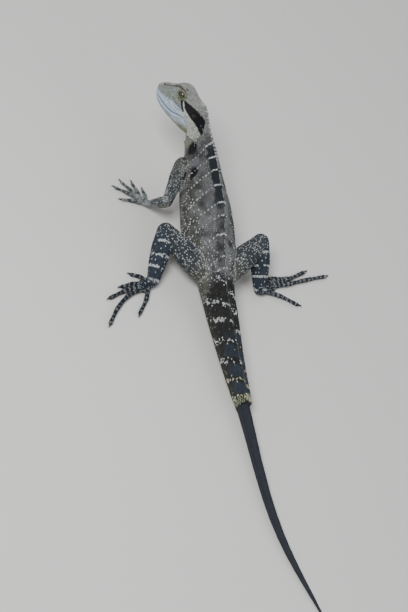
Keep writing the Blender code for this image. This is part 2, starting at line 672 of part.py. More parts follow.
def make_limbs(trunk):
    nodes = []
    for side, leg in LEGS.items():
        joints = (leg["hip"], leg["knee"], leg["ankle"], leg["instep"])
        nodes += make_limb(side, joints, ("thigh_", "shank_", "foot_"), (THIGH, SHANK, INSTEP),
                           leg["toes"], TOE_RADII, trunk)
    for side, arm in ARMS.items():
        joints = (arm["shoulder"], arm["elbow"], arm["wrist"], arm["palm"])
        nodes += make_limb(side, joints, ("upper_arm_", "forearm_", "hand_"),
                           (UPPER_ARM, FOREARM, PALM), arm["fingers"], FINGER_RADII, trunk)
    return nodes


def colour(nodes, name, base, roughness):
    material = bpy.data.materials.new(name)
    material.use_nodes = True
    shader = material.node_tree.nodes["Principled BSDF"]
    shader.inputs["Base Color"].default_value = (*base, 1)
    shader.inputs["Roughness"].default_value = roughness
    for node in nodes:
        node.data.materials.clear()
        node.data.materials.append(material)


def clear_scene():
    for item in list(bpy.data.objects):
        bpy.data.objects.remove(item)


def main():
    clear_scene()
    draw = random.Random(7)
    names = list(SPINE)
    own = names[:names.index("regrown_1")]
    skin = Skin(own, True)
    tail_skin = Skin(names[names.index("regrown_1"):], False)
    grown = Skin(own, False, GAP)
    trunk = spine_node("trunk_cutter", grown, 0, len(own) - 3, STEP["torso"], even_turns(24),
                       trim=(False, False))
    head, eyes = make_head(skin, draw)
    spine_nodes = make_spine_nodes(skin, tail_skin, draw)
    limbs = make_limbs(trunk)
    bpy.data.objects.remove(trunk)
    nodes = [head] + eyes + spine_nodes + limbs
    dragon = bpy.data.collections.new("water_dragon")
    bpy.context.scene.collection.children.link(dragon)
    for node in nodes:
        rest_on_floor(node)
        bpy.context.scene.collection.objects.unlink(node)
        dragon.objects.link(node)
        node.data.shade_smooth()
        node.data.set_sharp_from_angle(angle=math.radians(40))
    colour([head], "head_skin", (0.42, 0.43, 0.38), 0.65)
    colour(eyes, "eye", (0.03, 0.025, 0.015), 0.1)
    colour(spine_nodes[:4], "body_skin", (0.13, 0.125, 0.11), 0.7)
    colour(spine_nodes[4:], "regrown_skin", (0.06, 0.065, 0.075), 0.65)
    colour(limbs, "limb_skin", (0.07, 0.085, 0.105), 0.7)


main()
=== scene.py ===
"""Looks of the water dragon: one skin over the body, its scales, crest, claws and eyes.

The sizes below repeat those of the model's own source, so each form lies where its solid is.
Lengths are in millimetres until MM turns them into metres, and angles are in degrees.
"""
import math

import bmesh
import bpy
import numpy as np
from mathutils import Matrix, Vector, kdtree
from mathutils.bvhtree import BVHTree


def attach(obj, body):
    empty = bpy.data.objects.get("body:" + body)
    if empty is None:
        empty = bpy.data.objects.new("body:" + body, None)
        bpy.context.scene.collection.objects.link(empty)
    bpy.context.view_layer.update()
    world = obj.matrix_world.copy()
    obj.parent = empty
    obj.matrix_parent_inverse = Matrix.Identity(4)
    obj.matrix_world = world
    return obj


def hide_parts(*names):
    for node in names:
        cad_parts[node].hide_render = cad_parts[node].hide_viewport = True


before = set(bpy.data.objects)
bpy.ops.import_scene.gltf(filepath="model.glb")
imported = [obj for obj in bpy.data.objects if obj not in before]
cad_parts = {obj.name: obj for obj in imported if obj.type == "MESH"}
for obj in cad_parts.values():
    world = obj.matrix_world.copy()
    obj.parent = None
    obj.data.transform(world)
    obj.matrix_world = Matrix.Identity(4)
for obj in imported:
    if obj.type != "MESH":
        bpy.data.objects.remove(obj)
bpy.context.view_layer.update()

MM = 0.001
VOXEL = 0.6                     # fineness of the skin, and half of this on the head
COAT_DEPTH = 0.3                # how far the skin lies inside the solids
ROUND = 240                     # points round a sleeve of the body
LIMB_ROUND, DIGIT_ROUND, CLAW_ROUND = 96, 40, 14
STRIDE = 0.8                    # between rows of points along the body and limbs
DIGIT_STRIDE = 0.5              # the same along a toe or finger
PATCH = 0.003                   # size of a scale's place on the unwrapped skin
MOST_TRIANGLES = 190000         # of one piece of the coat
ATLAS_WIDTH = 470.0             # how wide the unrolled sleeves lie beside each other
MOUTH_POINTS = 160              # along each half of the line of the mouth
BLOCK = 20000                   # points compared with a line at a time

# The spine's stations: centre, half width, rise to the ridge, drop to the belly, how sharp
# the ridge is, and the way it faces as yaw to the left, climb and lean to the right.
SPINE = {
    "nape": ((124.5, 12.3, 69.5), 13.2, 13.5, 14.5, 0.10, (26, 20, 25)),
    "neck_base": ((112, 6.7, 58.5), 15.5, 16.0, 17.0, 0.30, (12, 30, 22)),
    "shoulders": ((100, 5.8, 51.0), 18.7, 20.0, 19.0, 0.45, (4, 24, 22)),
    "chest": ((86, 5.4, 45.0), 23.0, 22.5, 20.0, 0.45, (0, 17, 22)),
    "ribs": ((58, 4.0, 36.5), 29.6, 24.0, 20.5, 0.40, (0, 15, 22)),
    "belly": ((28, 3.4, 29.0), 28.0, 22.0, 20.5, 0.38, (0, 13, 13)),
    "hips": ((0, 0.4, 22.5), 18.5, 20.5, 22.8, 0.35, (0, 8, 1)),
    "vent": ((-22, 1.0, 18.6), 15.4, 18.6, 18.9, 0.30, (0, 4, 0)),
    "tail_1": ((-51, 0.7, 16.4), 13.6, 16.6, 16.8, 0.30, (0, 2, 0)),
    "tail_2": ((-78, 0.7, 15.2), 11.2, 15.4, 15.6, 0.30, (1, 2, 0)),
    "tail_3": ((-109, -0.4, 13.3), 8.7, 13.5, 13.7, 0.30, (3, 2, 0)),
    "tail_break": ((-137, -2.9, 10.6), 6.8, 10.6, 11.0, 0.30, (4, 2, 0)),
    "regrown_1": ((-137.6, -2.9, 8.0), 5.5, 8.0, 8.4, 0.10, (4, 1, 0)),
    "regrown_2": ((-160, -4.0, 7.0), 5.0, 7.0, 7.4, 0.10, (3, 1, 0)),
    "regrown_3": ((-196, -5.0, 5.9), 4.4, 5.9, 6.2, 0.05, (4, 0, 0)),
    "regrown_4": ((-235, -7.5, 4.8), 3.9, 4.8, 5.1, 0.0, (8, 0, 0)),
    "regrown_5": ((-268, -12.9, 3.8), 3.4, 3.8, 4.1, 0.0, (13, 0, 0)),
    "regrown_6": ((-300, -22.0, 2.7), 2.6, 2.7, 3.0, 0.0, (17, 0, 0)),
    "regrown_7": ((-330, -32.5, 1.6), 1.6, 1.6, 1.8, 0.0, (19, 0, 0)),
    "regrown_tip": ((-350, -39.5, 0.8), 0.6, 0.6, 0.7, 0.0, (19, 0, 0)),
}
FIRST_REGROWN = "regrown_1"
HEAD_AT = np.array((131.0, 12.5, 76.0))
HEAD_FACING = (42, -10, 27)
HEAD_STATIONS = (53.4, 52.3, 49.8, 46, 41, 36, 31, 27, 23, 18, 12, 6)
# How far the top of the snout leans forward over the chin at its first stations.
HEAD_LEANS = (0.27, 0.24, 0.14, 0.05, 0, 0, 0, 0, 0, 0, 0, 0)
LEAN_LEVEL = 8.0                # the height at which a leaning station keeps its place
# Lines that run along the head: crown, brow, lore, cheek, upper lip, mouth, lower lip, jaw,
# jaw edge and throat. Each has its place round a section, 0 on the crown and 0.5 under the
# throat, then half width and height at each of the stations above.
HEAD_LINES = (
    (0.0, (0,) * 12,
     (11.6, 14.4, 16.6, 18.4, 20.6, 23.4, 25.1, 25.2, 24.2, 22.6, 20.6, 18.6)),
    (0.11, (2.6, 4.3, 5.4, 5.9, 6.8, 8.4, 10.0, 10.9, 10.8, 9.9, 9.0, 8.5),
     (11.3, 14.0, 16.4, 18.4, 21.0, 24.6, 26.4, 26.2, 24.6, 22.0, 19.6, 17.6)),
    (0.17, (3.2, 5.2, 6.5, 7.0, 7.7, 8.8, 10.2, 11.2, 11.8, 12.4, 12.6, 12.4),
     (10.4, 12.0, 13.8, 15.2, 16.6, 18.0, 19.6, 20.2, 19.8, 18.6, 17.0, 15.2)),
    (0.25, (3.4, 5.6, 7.4, 8.5, 9.9, 11.4, 13.0, 14.2, 15.2, 16.2, 16.9, 16.6),
     (8.9, 9.8, 10.3, 10.5, 10.5, 10.3, 10.2, 10.2, 10.2, 10, 9.2, 7.6)),
    (0.312, (3.0, 5.2, 7.5, 9.2, 11, 12.6, 14, 15, 15.8, 16.8, 17.3, 16.8),
     (7.2, 7.0, 6.4, 5.6, 4.2, 3.1, 2.4, 2.3, 2.8, 4.0, 4.6, 3.6)),
    (0.335, (2.6, 4.4, 6.0, 7.5, 9.2, 10.7, 12.1, 13.1, 14.0, 15.7, 17.2, 16.9),
     (6.4, 5.7, 5.0, 4.0, 2.5, 1.4, 0.7, 0.6, 1.1, 2.4, 2.9, 1.8)),
    (0.355, (2.6, 4.5, 6.9, 8.7, 10.5, 12.1, 13.5, 14.5, 15.3, 16.5, 17.3, 16.8),
     (5.4, 4.4, 3.4, 2.4, 0.8, -0.3, -1.0, -1.1, -0.6, 0.6, 1.2, 0.0)),
    (0.41, (2.0, 3.7, 5.8, 7.6, 9.4, 10.9, 12.2, 13.2, 14.0, 15.2, 16.2, 15.9),
     (4.1, 2.8, 1.5, 0.2, -1.5, -2.8, -3.8, -4.4, -4.6, -4.8, -5.0, -5.6)),
    (0.455, (1.1, 2.0, 3.4, 4.8, 6.2, 7.4, 8.6, 9.4, 10.2, 11.0, 11.2, 10.2),
     (3.5, 2.0, 0.4, -1.3, -3.3, -4.8, -6.0, -6.8, -7.5, -8.4, -9.6, -10.6)),
    (0.5, (0,) * 12,
     (3.3, 1.7, -0.1, -2.0, -4.0, -5.4, -6.6, -7.4, -8.2, -9.4, -11, -12.4)),
)
MOUTH_LINE = 5                  # its number among the lines above
MOUTH_TURN = 0.335
MOUTH_END = 9.9                 # the corner of the mouth, counted in stations
EYE_AT = np.array((26.3, 9.0, 19.0))
EYE_FACING = np.array((0.12, 1.0, 0.10))
EYE_RADIUS = 4.2
LID_ARCS = (3.35, 2.0)          # half the opening's length and height, along the eyeball
LID_BLEND = 0.22                # how softly the lids run out into the skin round them
LID_POWER = 1.75                # how square the opening's rim is
LID_TILT = 8
NOSTRIL_PLACE = (2.75, 0.132)
EAR_PLACE = (11.05, 0.225)
EAR_RADIUS = 2.6

# The flesh of the limbs: share of the way between two joints, half width, half height.
THIGH = ((0, 11.0, 12.0), (0.3, 12.4, 13.0), (0.6, 11.2, 11.8), (0.85, 9.0, 9.4), (1, 8.2, 8.4))
SHANK = ((0, 8.2, 8.4), (0.25, 9.1, 9.1), (0.5, 9.1, 8.8), (0.8, 7.4, 6.8), (1, 5.7, 5.2))
UPPER_ARM = ((0, 8.2, 8.8), (0.3, 7.8, 8.2), (0.6, 6.4, 6.6), (0.85, 5.6, 5.7), (1, 5.4, 5.4))
FOREARM = ((0, 5.4, 5.4), (0.3, 5.6, 5.5), (0.6, 4.7, 4.6), (0.85, 3.9, 3.8), (1, 3.7, 3.5))
INSTEP = ((0, 5.4, 5.0), (0.35, 5.4, 4.5), (0.7, 6.3, 3.8), (1, 6.6, 3.2))
PALM = ((0, 3.7, 3.5), (0.4, 4.4, 3.2), (1, 5.0, 2.8))
LEG_PARTS = (("thigh", THIGH), ("shank", SHANK), ("foot", INSTEP))
ARM_PARTS = (("upper_arm", UPPER_ARM), ("forearm", FOREARM), ("hand", PALM))
LEGS = {
    "left": (
        ((0, 12.5, 22), (37.8, 48.3, 31.0), (-2.9, 59.4, 6.2), (-8.0, 71.0, 3.1)),
        (((-1.0, 64.0, 3.2), (3.6, 70.0, 2.8), (6.0, 77.5, 1.75)),
         ((-4.5, 70.0, 3.2), (-5.0, 79.0, 2.8), (-8.0, 90.0, 1.75)),
         ((-8.0, 72.0, 3.2), (-12.0, 86.0, 2.9), (-21.0, 104.0, 1.75)),
         ((-10.5, 72.0, 3.2), (-18.5, 86.0, 2.9), (-32.0, 99.0, 2.5), (-49.0, 109.5, 1.75)),
         ((-8.5, 64.0, 3.4), (-20.0, 68.0, 3.0), (-36.5, 77.5, 1.75))),
    ),
    "right": (
        ((0, -11.7, 22), (33.8, -52.0, 30.6), (-5.2, -53.0, 6.2), (1.6, -68.0, 3.1)),
        (((4.0, -59.5, 3.2), (9.8, -66.0, 2.8), (12.6, -74.0, 1.75)),
         ((4.6, -66.5, 3.2), (10.5, -77.5, 2.8), (13.6, -90.5, 1.75)),
         ((4.2, -69.5, 3.2), (10.6, -87.0, 2.9), (22.0, -111.0, 1.75)),
         ((1.8, -70.0, 3.2), (5.8, -88.0, 2.9), (12.4, -110.0, 2.5), (18.5, -133.5, 1.75)),
         ((-4.8, -60.5, 3.4), (-8.2, -75.0, 3.0), (-16.5, -93.5, 1.75))),
    ),
}
ARMS = {
    "left": (
        ((103, 24.5, 49.0), (72.5, 39.0, 30.0), (87.0, 45.5, 5.4), (93.5, 51.0, 2.8)),
        (((91.5, 46.5, 2.8), (99.0, 45.0, 2.6), (105.0, 46.0, 1.4)),
         ((94.5, 49.5, 2.8), (104.0, 53.0, 2.6), (112.5, 55.5, 1.4)),
         ((95.0, 52.0, 2.8), (104.5, 60.0, 2.6), (113.0, 66.5, 1.4)),
         ((93.5, 53.5, 2.8), (100.5, 64.0, 2.6), (106.0, 74.0, 1.4)),
         ((89.5, 52.5, 2.8), (91.5, 61.5, 2.6), (92.5, 69.5, 1.4))),
    ),
    "right": (
        ((99, -5.5, 40.5), (73.5, -25.5, 24.0), (90.0, -22.0, 5.4), (98.0, -23.5, 2.8)),
        (((96.5, -19.3, 2.8), (103.5, -16.3, 2.6), (109.5, -15.5, 1.4)),
         ((99.5, -21.5, 2.8), (109.0, -21.4, 2.6), (118.0, -22.0, 1.4)),
         ((100.0, -24.0, 2.8), (111.0, -27.0, 2.6), (121.5, -29.0, 1.4)),
         ((98.5, -26.0, 2.8), (107.5, -32.0, 2.6), (116.0, -38.0, 1.4)),
         ((95.0, -27.0, 2.8), (98.0, -35.0, 2.6), (102.0, -41.0, 1.4))),
    ),
}
TOE_RADII = (2.5, 1.9)
FINGER_RADII = (2.1, 1.55)
CLAW = ((-0.6, 0.15, 0.62), (0.3, 0.3, 0.6), (1.4, 0.65, 0.52), (2.6, 0.65, 0.4), (3.7, 0.2, 0.25),
        (4.5, -0.6, 0.06))
END_ANGLES = (22, 42, 58, 70, 80, 87)   # of the rings on the round end of a limb
# How far the soft hollows reach round the joints of a limb.
LEG_SPANS = (24, 12, 8, 7)
ARM_SPANS = (17, 8, 6, 6)
# Folds of loose skin: middle, reach and depth.
FOLDS = (((112, 8, 52), 20, 0.55), ((88, 20, 38), 15, 0.45), ((18, 22, 26), 16, 0.4),
         ((18, -20, 26), 16, 0.4), ((92, -8, 34), 15, 0.45), ((-6, 14, 14), 14, 0.35))
THROAT_FOLD = (11.75, 0.34, 0.66)   # its station, and the turns between which it lies
# The stations at which the scales of the head, the neck and the trunk end.
HEAD_END, NECK_END, TRUNK_END = 11.9, 14.0, 19.3

# Sizes of the scales: length and breadth in each region of the body.
SCALE_SIZES = {
    "head": (1.1, 1.0), "neck": (1.2, 0.95), "trunk": (1.35, 1.02), "tail": (1.75, 1.2),
    "regrown": (1.3, 0.88), "thigh": (1.35, 1.05), "shank": (1.4, 1.05), "foot": (1.15, 0.92),
    "upper_arm": (1.25, 0.98), "forearm": (1.25, 0.98), "hand": (1.1, 0.9),
    "toe": (1.05, 0.88), "finger": (0.98, 0.8),
}
ROW_SHARE = 0.74                # rows lie this share of a scale's length apart
# Rows of plates along the lips: turn round the head, number, height, and how pale they are.
LIP_ROWS = ((0.3205, 15, 2.2, 1.0), (0.3495, 15, 2.0, 0.95), (0.3025, 19, 1.75, 0.97),
            (0.3775, 18, 1.65, 0.6), (0.2885, 22, 1.55, 0.92))
LIP_SPAN = (0.282, 0.392)       # the turns between which the lips' plates lie
# Rows of granules on the lids: distance from the opening's rim, size, and how pale they are.
LID_ROWS = ((0.34, 0.62, 0.5), (0.82, 0.7, 0.72), (1.32, 0.76, 0.9), (1.84, 0.84, 0.95))
LID_REACH = 6.4                 # how far from the eye's middle the lids' rows may lie

# Markings, placed along the body by x and round it by the distance from the crest.
CROSS_LINES = (114, 102, 89, 74, 57, 44, 26, 5, -6)
TAIL_BANDS_LEFT = (-21, -43, -60, -82, -101, -119, -135)
TAIL_BANDS_RIGHT = (-30, -48, -67, -85, -107, -123, -135)
SHANK_BANDS = (0.30, 0.52, 0.70, 0.9)
# Where the trunk's tint runs out along a limb, and how bright it is there.
ROOT_BLENDS = {"thigh": (12, 32, 1.0), "upper_arm": (6, 29, 0.82)}
# White dots of the limbs: pitch, seed, how many of the lattice's cells have one, and how white.
LIMB_DOTS = {
    "thigh": (2.4, 72, 0.6, 0.88), "shank": (3.6, 73, 0.36, 0.92), "foot": (2.6, 74, 0.75, 0.65),
    "toe": (2.6, 70, 0.3, 0.45), "finger": (2.6, 70, 0.3, 0.35),
}
ARM_DOTS = (2.6, 74, 0.75, 0.6)
# Dark patches: a black mark on the neck, and two behind the arm that are partly a dark mark and partly
# painted shade of the armpit; x, share of the girth, and half their size.
DARK_PATCHES_AND_ARMPIT_SHADE = ((112, 0.252, 7.5, 0.07), (85.5, 0.2, 7.0, 0.03), (86, 0.285, 5.0, 0.024))
PALE_PATCH = (97, 0.205, 6.0, 0.04)
# The black band behind the eye: x and height of its upper and lower edges on the head.
BAND_TOP = ((-9.6, -3.0), (-8.7, -0.5), (-6.5, 4.6), (-4.2, 8.8), (1.1, 12.6), (7, 15.0),
            (12, 15.8), (21, 16.8))
BAND_LOW = ((-9.6, -4.2), (-8.7, -3.4), (-5.5, -1.2), (-2.9, 0.7), (2.3, 4.4), (5, 5.5), (10, 7.7),
            (17, 11.1), (21, 15.2))
# How high over the mouth the pale of the upper lip reaches.
LIP_TOP = ((8, 4.5), (18, 7.2), (26, 8.3), (34, 8.0), (44, 5.2), (52, 4.0))
BLACK_PRONG = ((16.3, 8.2), (19.9, 11.3), (23.3, 14.7))
WHITE_LINE = ((15.0, 8.9), (16.6, 10.0), (20.8, 14.4))
LORE_LINE = ((18.5, 8.3), (26.3, 9.9), (34.0, 12.5))


def tone(red, green, blue):
    """A colour as it looks on a screen, 0 to 255, turned into the light it stands for."""
    share = np.array((red, green, blue)) / 255
    return np.where(share <= 0.04045, share / 12.92, ((share + 0.055) / 1.055) ** 2.4)


SLATE = tone(34, 40, 47)
FLANK = tone(78, 78, 79)
PALE_FLANK = tone(116, 116, 118)
SPOT = tone(200, 204, 203)
OLIVE = tone(91, 91, 79)
BROWN = tone(52, 46, 42)
UNDER = tone(140, 136, 116)
CREST_PALE = tone(168, 171, 168)
# painted light: the paler strip on the right of the crest, where that side of the back is lit
LIT_STRIP = tone(116, 118, 118)
LEG = tone(44, 52, 63)
THIGH_GROUND = tone(53, 58, 63)
ARM = tone(68, 73, 75)
TAIL_DARK = tone(30, 30, 31)
TAIL_BLUE = tone(44, 52, 61)
REGROWN = tone(40, 44, 53)
HEAD_GREY = tone(140, 144, 138)
CROWN = tone(146, 146, 143)
SNOUT = tone(150, 146, 146)
# painted shadow along the brow ridge before the eye
BROW_SHADOW = tone(76, 64, 56)
LORE = tone(136, 146, 137)
LIP = tone(182, 197, 214)
CHEEK = tone(178, 180, 168)
LID = tone(120, 126, 98)
BLACK = tone(9, 9, 13)
THROAT = tone(122, 118, 92)
NAPE = tone(80, 79, 85)
OLIVE_FOLD = tone(118, 116, 94)
PALE_BLUE = tone(128, 133, 142)
EAR_SKIN = tone(38, 32, 35)
# painted shade inside the eyes' openings and the nostrils
HOLE_SHADE = tone(10, 8, 8)
YELLOWISH = tone(190, 186, 140)
FRINGE_PALE = tone(186, 188, 130)
HEAD_WHITE = tone(196, 200, 196)
LORE_DARK = tone(90, 96, 100)
CHIN = tone(146, 148, 138)
ARM_PALE = tone(126, 132, 132)
# painted shade along the mouth's groove
MOUTH_GROOVE_SHADE = tone(84, 90, 98)
LID_EDGE = tone(34, 30, 22)
IRIS, IRIS_FLECK = tone(86, 84, 54), tone(46, 46, 30)
# a painted highlight: a pale ring round the pupil
IRIS_HIGHLIGHT, IRIS_EDGE = tone(140, 132, 90), tone(20, 17, 12)
PUPIL = tone(3, 3, 4)
CLAW_ROOT, CLAW_TIP = tone(58, 52, 48), tone(22, 18, 16)
# painted shade: the feet and toes are darker than the shank
LEG_GROUNDS = {"thigh": THIGH_GROUND, "shank": LEG, "foot": LEG * 0.7, "toe": LEG * 0.55}


def facing(yaw, climb, lean):
    """Forward, left and up of a section that faces yaw to the left and leans to the right."""
    yaw, climb, lean = np.radians((yaw, climb, lean))
    forward = np.array((math.cos(climb) * math.cos(yaw), math.cos(climb) * math.sin(yaw),
                        math.sin(climb)))
    level = np.array((-math.sin(yaw), math.cos(yaw), 0))
    rise = np.cross(forward, level)
    left = level * math.cos(lean) + rise * math.sin(lean)
    up = rise * math.cos(lean) - level * math.sin(lean)
    return forward, left, up


HEAD_AXES = np.array(facing(*HEAD_FACING))


def unit(ways):
    return ways / np.maximum(np.linalg.norm(ways, axis=-1, keepdims=True), 1e-9)


def ease(low, high, value):
    """0 below low, 1 above high, and a smooth rise between."""
    share = np.clip((value - low) / (high - low), 0, 1)
    return share * share * (3 - 2 * share)


def bump(value, middle, width):
    """1 at the middle, running out smoothly on both sides of it."""
    return np.exp(-((value - middle) / width) ** 2)


def running(line):
    """How far along a row of points each one lies."""
    return np.concatenate(([0], np.cumsum(np.linalg.norm(np.diff(line, axis=0), axis=1))))


def square_to(normals, ways):
    """Directions turned until they stand square to the normals."""
    return unit(ways - normals * (ways * normals).sum(axis=-1, keepdims=True))


def smooth(keys, gaps, places):
    """Smooth curves through rows of keys with the given gaps; places counts the rows."""
    gaps = np.asarray(gaps, float)
    wide = gaps[:, None, None]
    secants = (keys[1:] - keys[:-1]) / wide
    inner = (secants[:-1] * wide[1:] + secants[1:] * wide[:-1]) / (wide[1:] + wide[:-1])
    slopes = np.concatenate((secants[:1], inner, secants[-1:]))
    start = np.clip(np.floor(places).astype(int), 0, len(keys) - 2)
    t = (places - start)[:, None, None]
    span = wide[start]
    return (keys[start] * (2 * t ** 3 - 3 * t ** 2 + 1) + slopes[start] * span * (t ** 3 - 2 * t ** 2 + t)
            + keys[start + 1] * (3 * t ** 2 - 2 * t ** 3)
            + slopes[start + 1] * span * (t ** 3 - t ** 2))


def chance(seed, *cells):
    """A repeatable random number from 0 to 1 for each set of whole numbers."""
    mix = np.full(np.shape(cells[0]), seed, np.uint64)
    with np.errstate(over="ignore"):
        for cell in cells:
            mix = (mix ^ cell.astype(np.int64).astype(np.uint64)) * np.uint64(0x9E3779B97F4A7C15)
            mix ^= mix >> np.uint64(29)
        mix *= np.uint64(0xBF58476D1CE4E5B9)
    mix ^= mix >> np.uint64(32)
    return (mix >> np.uint64(11)) / float(1 << 53)


def draws(seed, count):
    """A repeatable random number from 0 to 1 for each of a count of things."""
    return chance(seed, np.arange(count))


def cloud(points, size, seed):
    """Smooth noise from 0 to 1 whose lumps are about size across."""
    cells = np.floor(points / size).astype(np.int64)
    part = points / size - cells
    part = part * part * (3 - 2 * part)
    total = np.zeros(len(points))
    for corner in np.ndindex(2, 2, 2):
        corner = np.array(corner)
        weight = np.prod(np.where(corner, part, 1 - part), axis=1)
        total += weight * chance(seed, *(cells + corner).T)
    return total


def one_in_each(along, across, pitch, seed, share=1.0):
    """Picks the scale nearest to an uneven spot in each cell of a lattice, or in a share of them."""
    column, row = np.floor(along / pitch), np.floor(across / pitch)
    middle_c = (column + 0.25 + 0.5 * chance(seed, column, row)) * pitch
    middle_r = (row + 0.25 + 0.5 * chance(seed + 1, column, row)) * pitch
    cell = column * 4096 + row
    order = np.lexsort((np.hypot(along - middle_c, across - middle_r), cell))
    first = np.ones(len(order), bool)
    first[1:] = cell[order][1:] != cell[order][:-1]
    picked = np.zeros(len(order), bool)
    picked[order[first]] = True
    return picked & (chance(seed + 2, column, row) < share)


def oval(station, turns):
    """A section of the trunk or tail; turn runs from the ridge round by the left."""
    centre, half_width, rise, drop, ridge, angles = SPINE[station]
    _, left, up = facing(*angles)
    side = np.sin(2 * np.pi * turns)
    height = np.cos(2 * np.pi * turns)
    side = np.where(height > 0, np.copysign(np.abs(side) ** (1 + ridge), side), side)
    reach = np.where(height > 0, rise, drop)
    return np.array(centre) + np.outer(side * half_width, left) + np.outer(height * reach, up)


def head_section(number, turns):
    """A section of the head, on a smooth curve across the head's lines."""
    mirror = np.where(turns <= 0.5, 1, -1)
    turns = np.minimum(turns, 1 - turns)
    flat = np.array([(line[1][number], line[2][number]) for line in HEAD_LINES], float)[:, None]
    marks = np.array([line[0] for line in HEAD_LINES])
    places = np.interp(turns, marks, np.arange(len(marks)))
    point = smooth(flat, np.diff(marks), places)[:, 0]
    forward, left, up = HEAD_AXES
    ahead = HEAD_STATIONS[number] + HEAD_LEANS[number] * (point[:, 1] - LEAN_LEVEL)
    return (HEAD_AT + np.outer(ahead, forward) + np.outer(point[:, 0] * mirror, left)
            + np.outer(point[:, 1], up))


def in_head(point, side=1):
    """A point given in the head's frame, mirrored for the right side."""
    return HEAD_AT + np.array((point[0], point[1] * side, point[2])) @ HEAD_AXES


def head_local(points):
    """Points in the head's frame: along the snout, to the left, up."""
    return (points - HEAD_AT) @ HEAD_AXES.T


class Sleeve:
    """A closed surface of rings: rows run along the body, columns round it by the left."""

    def __init__(self, name, region, grid, places=None):
        self.name = name
        self.region = region
        self.grid = grid
        self.places = np.arange(len(grid)) if places is None else places
        self.along = running(grid.mean(axis=1))
        closed = np.concatenate((grid, grid[:, :1]), axis=1)
        self.arcs = np.cumsum(np.linalg.norm(np.diff(closed, axis=1), axis=2), axis=1)
        self.arcs = np.concatenate((np.zeros((len(grid), 1)), self.arcs), axis=1)
        self.atlas = (0.0, 0.0, 1.0)

    def at(self, row, turn):
        row = np.clip(row, 0, len(self.grid) - 1.001)
        top = np.floor(row).astype(int)
        down = (row - top)[:, None]
        column = (turn % 1) * self.grid.shape[1]
        left = np.floor(column).astype(int)
        over = (column - left)[:, None]
        left %= self.grid.shape[1]
        right = (left + 1) % self.grid.shape[1]
        upper = self.grid[top, left] * (1 - over) + self.grid[top, right] * over
        lower = self.grid[top + 1, left] * (1 - over) + self.grid[top + 1, right] * over
        return upper * (1 - down) + lower * down

    def frame(self, row, turn):
        """Points, outward directions and directions towards the free end."""
        here = self.at(row, turn)
        back = unit(self.at(row + 1, turn) - self.at(row - 1, turn))
        round_way = self.at(row, turn + 0.01) - self.at(row, turn - 0.01)
        outward = unit(np.cross(round_way, back))
        return here, outward, back

    def row_at(self, place):
        return np.interp(place, self.places, np.arange(len(self.places)))

    def shrink(self, depth):
        rows, columns = np.meshgrid(np.arange(len(self.grid)), np.arange(self.grid.shape[1]),
                                    indexing="ij")
        turns = columns.ravel() / self.grid.shape[1]
        rows = np.clip(rows.ravel().astype(float), 1, len(self.grid) - 2)
        _, outward, _ = self.frame(rows, turns)
        self.grid = self.grid - outward.reshape(self.grid.shape) * depth

    def triangles(self, first):
        """Corners and faces of the closed surface, with a fan at each end."""
        rows, columns = self.grid.shape[:2]
        number = np.arange(rows * columns).reshape(rows, columns)
        following = np.roll(number, -1, axis=1)
        a, b, c, d = number[:-1], following[:-1], following[1:], number[1:]
        faces = [np.stack((a, b, c), -1).reshape(-1, 3), np.stack((a, c, d), -1).reshape(-1, 3)]
        ends = np.array((self.grid[0].mean(axis=0), self.grid[-1].mean(axis=0)))
        tip = rows * columns
        faces.append(np.stack((following[0], number[0], np.full(columns, tip)), -1))
        faces.append(np.stack((number[-1], following[-1], np.full(columns, tip + 1)), -1))
        return np.concatenate((self.grid.reshape(-1, 3), ends)), np.concatenate(faces) + first


def spread_places(gaps):
    """Places about a stride apart, counted in stations."""
    steps = [max(1, math.ceil(gap / STRIDE)) for gap in gaps]
    places = [index + np.arange(step) / step for index, step in enumerate(steps)]
    return np.concatenate(places + [[len(gaps)]])


def spine_sleeve(name, region, sections):
    keys = np.array(sections)
    middles = (keys[:, ROUND // 4] + keys[:, 3 * ROUND // 4]) / 2
    gaps = np.linalg.norm(np.diff(middles, axis=0), axis=1)
    places = spread_places(gaps)
    return Sleeve(name, region, smooth(keys, gaps, places), places)


def swept(name, region, centres, sizes, columns):
    """A sleeve along a line of centres, with a half width and half height at each."""
    ahead = unit(np.gradient(centres, axis=0))
    side = unit(np.cross(ahead, (0, 0, 1)))
    up = np.cross(side, ahead)
    angles = 2 * np.pi * np.arange(columns) / columns
    grid = (centres[:, None] + side[:, None] * (np.sin(angles)[None, :, None] * sizes[:, None, :1])
            + up[:, None] * (np.cos(angles)[None, :, None] * sizes[:, None, 1:]))
    return Sleeve(name, region, grid)


def round_end(centre, way, size):
    """Centres and sizes of a round end that starts at a centre and goes its way."""
    angles = np.radians(END_ANGLES)
    reach = size.min()
    return (centre + np.outer(np.sin(angles) * reach, way), np.outer(np.cos(angles), size))


def limb_sleeve(name, region, start, end, profile):
    start, end = np.array(start, float), np.array(end, float)
    length = np.linalg.norm(end - start)
    way = (end - start) / length
    marks = np.array([row[0] for row in profile])
    keys = np.array([row[1:] for row in profile], float)[:, None]
    shares = np.linspace(0, 1, max(4, math.ceil(length / STRIDE)))
    sizes = smooth(keys, np.diff(marks), np.interp(shares, marks, np.arange(len(marks))))[:, 0]
    centres = start + np.outer(shares, end - start)
    head_c, head_s = round_end(start, -way, sizes[0])
    tail_c, tail_s = round_end(end, way, sizes[-1])
    return swept(name, region, np.concatenate((head_c[::-1], centres, tail_c)),
                 np.concatenate((head_s[::-1], sizes, tail_s)), LIMB_ROUND)


def digit_line(points):
    """A smooth line through a digit's joints, with a point every half millimetre."""
    points = np.array(points, float)
    gaps = np.linalg.norm(np.diff(points, axis=0), axis=1)
    steps = math.ceil(gaps.sum() / DIGIT_STRIDE)
    places = np.linspace(0, len(points) - 1, steps)
    return smooth(points[:, None], gaps, places)[:, 0], len(points) - 1


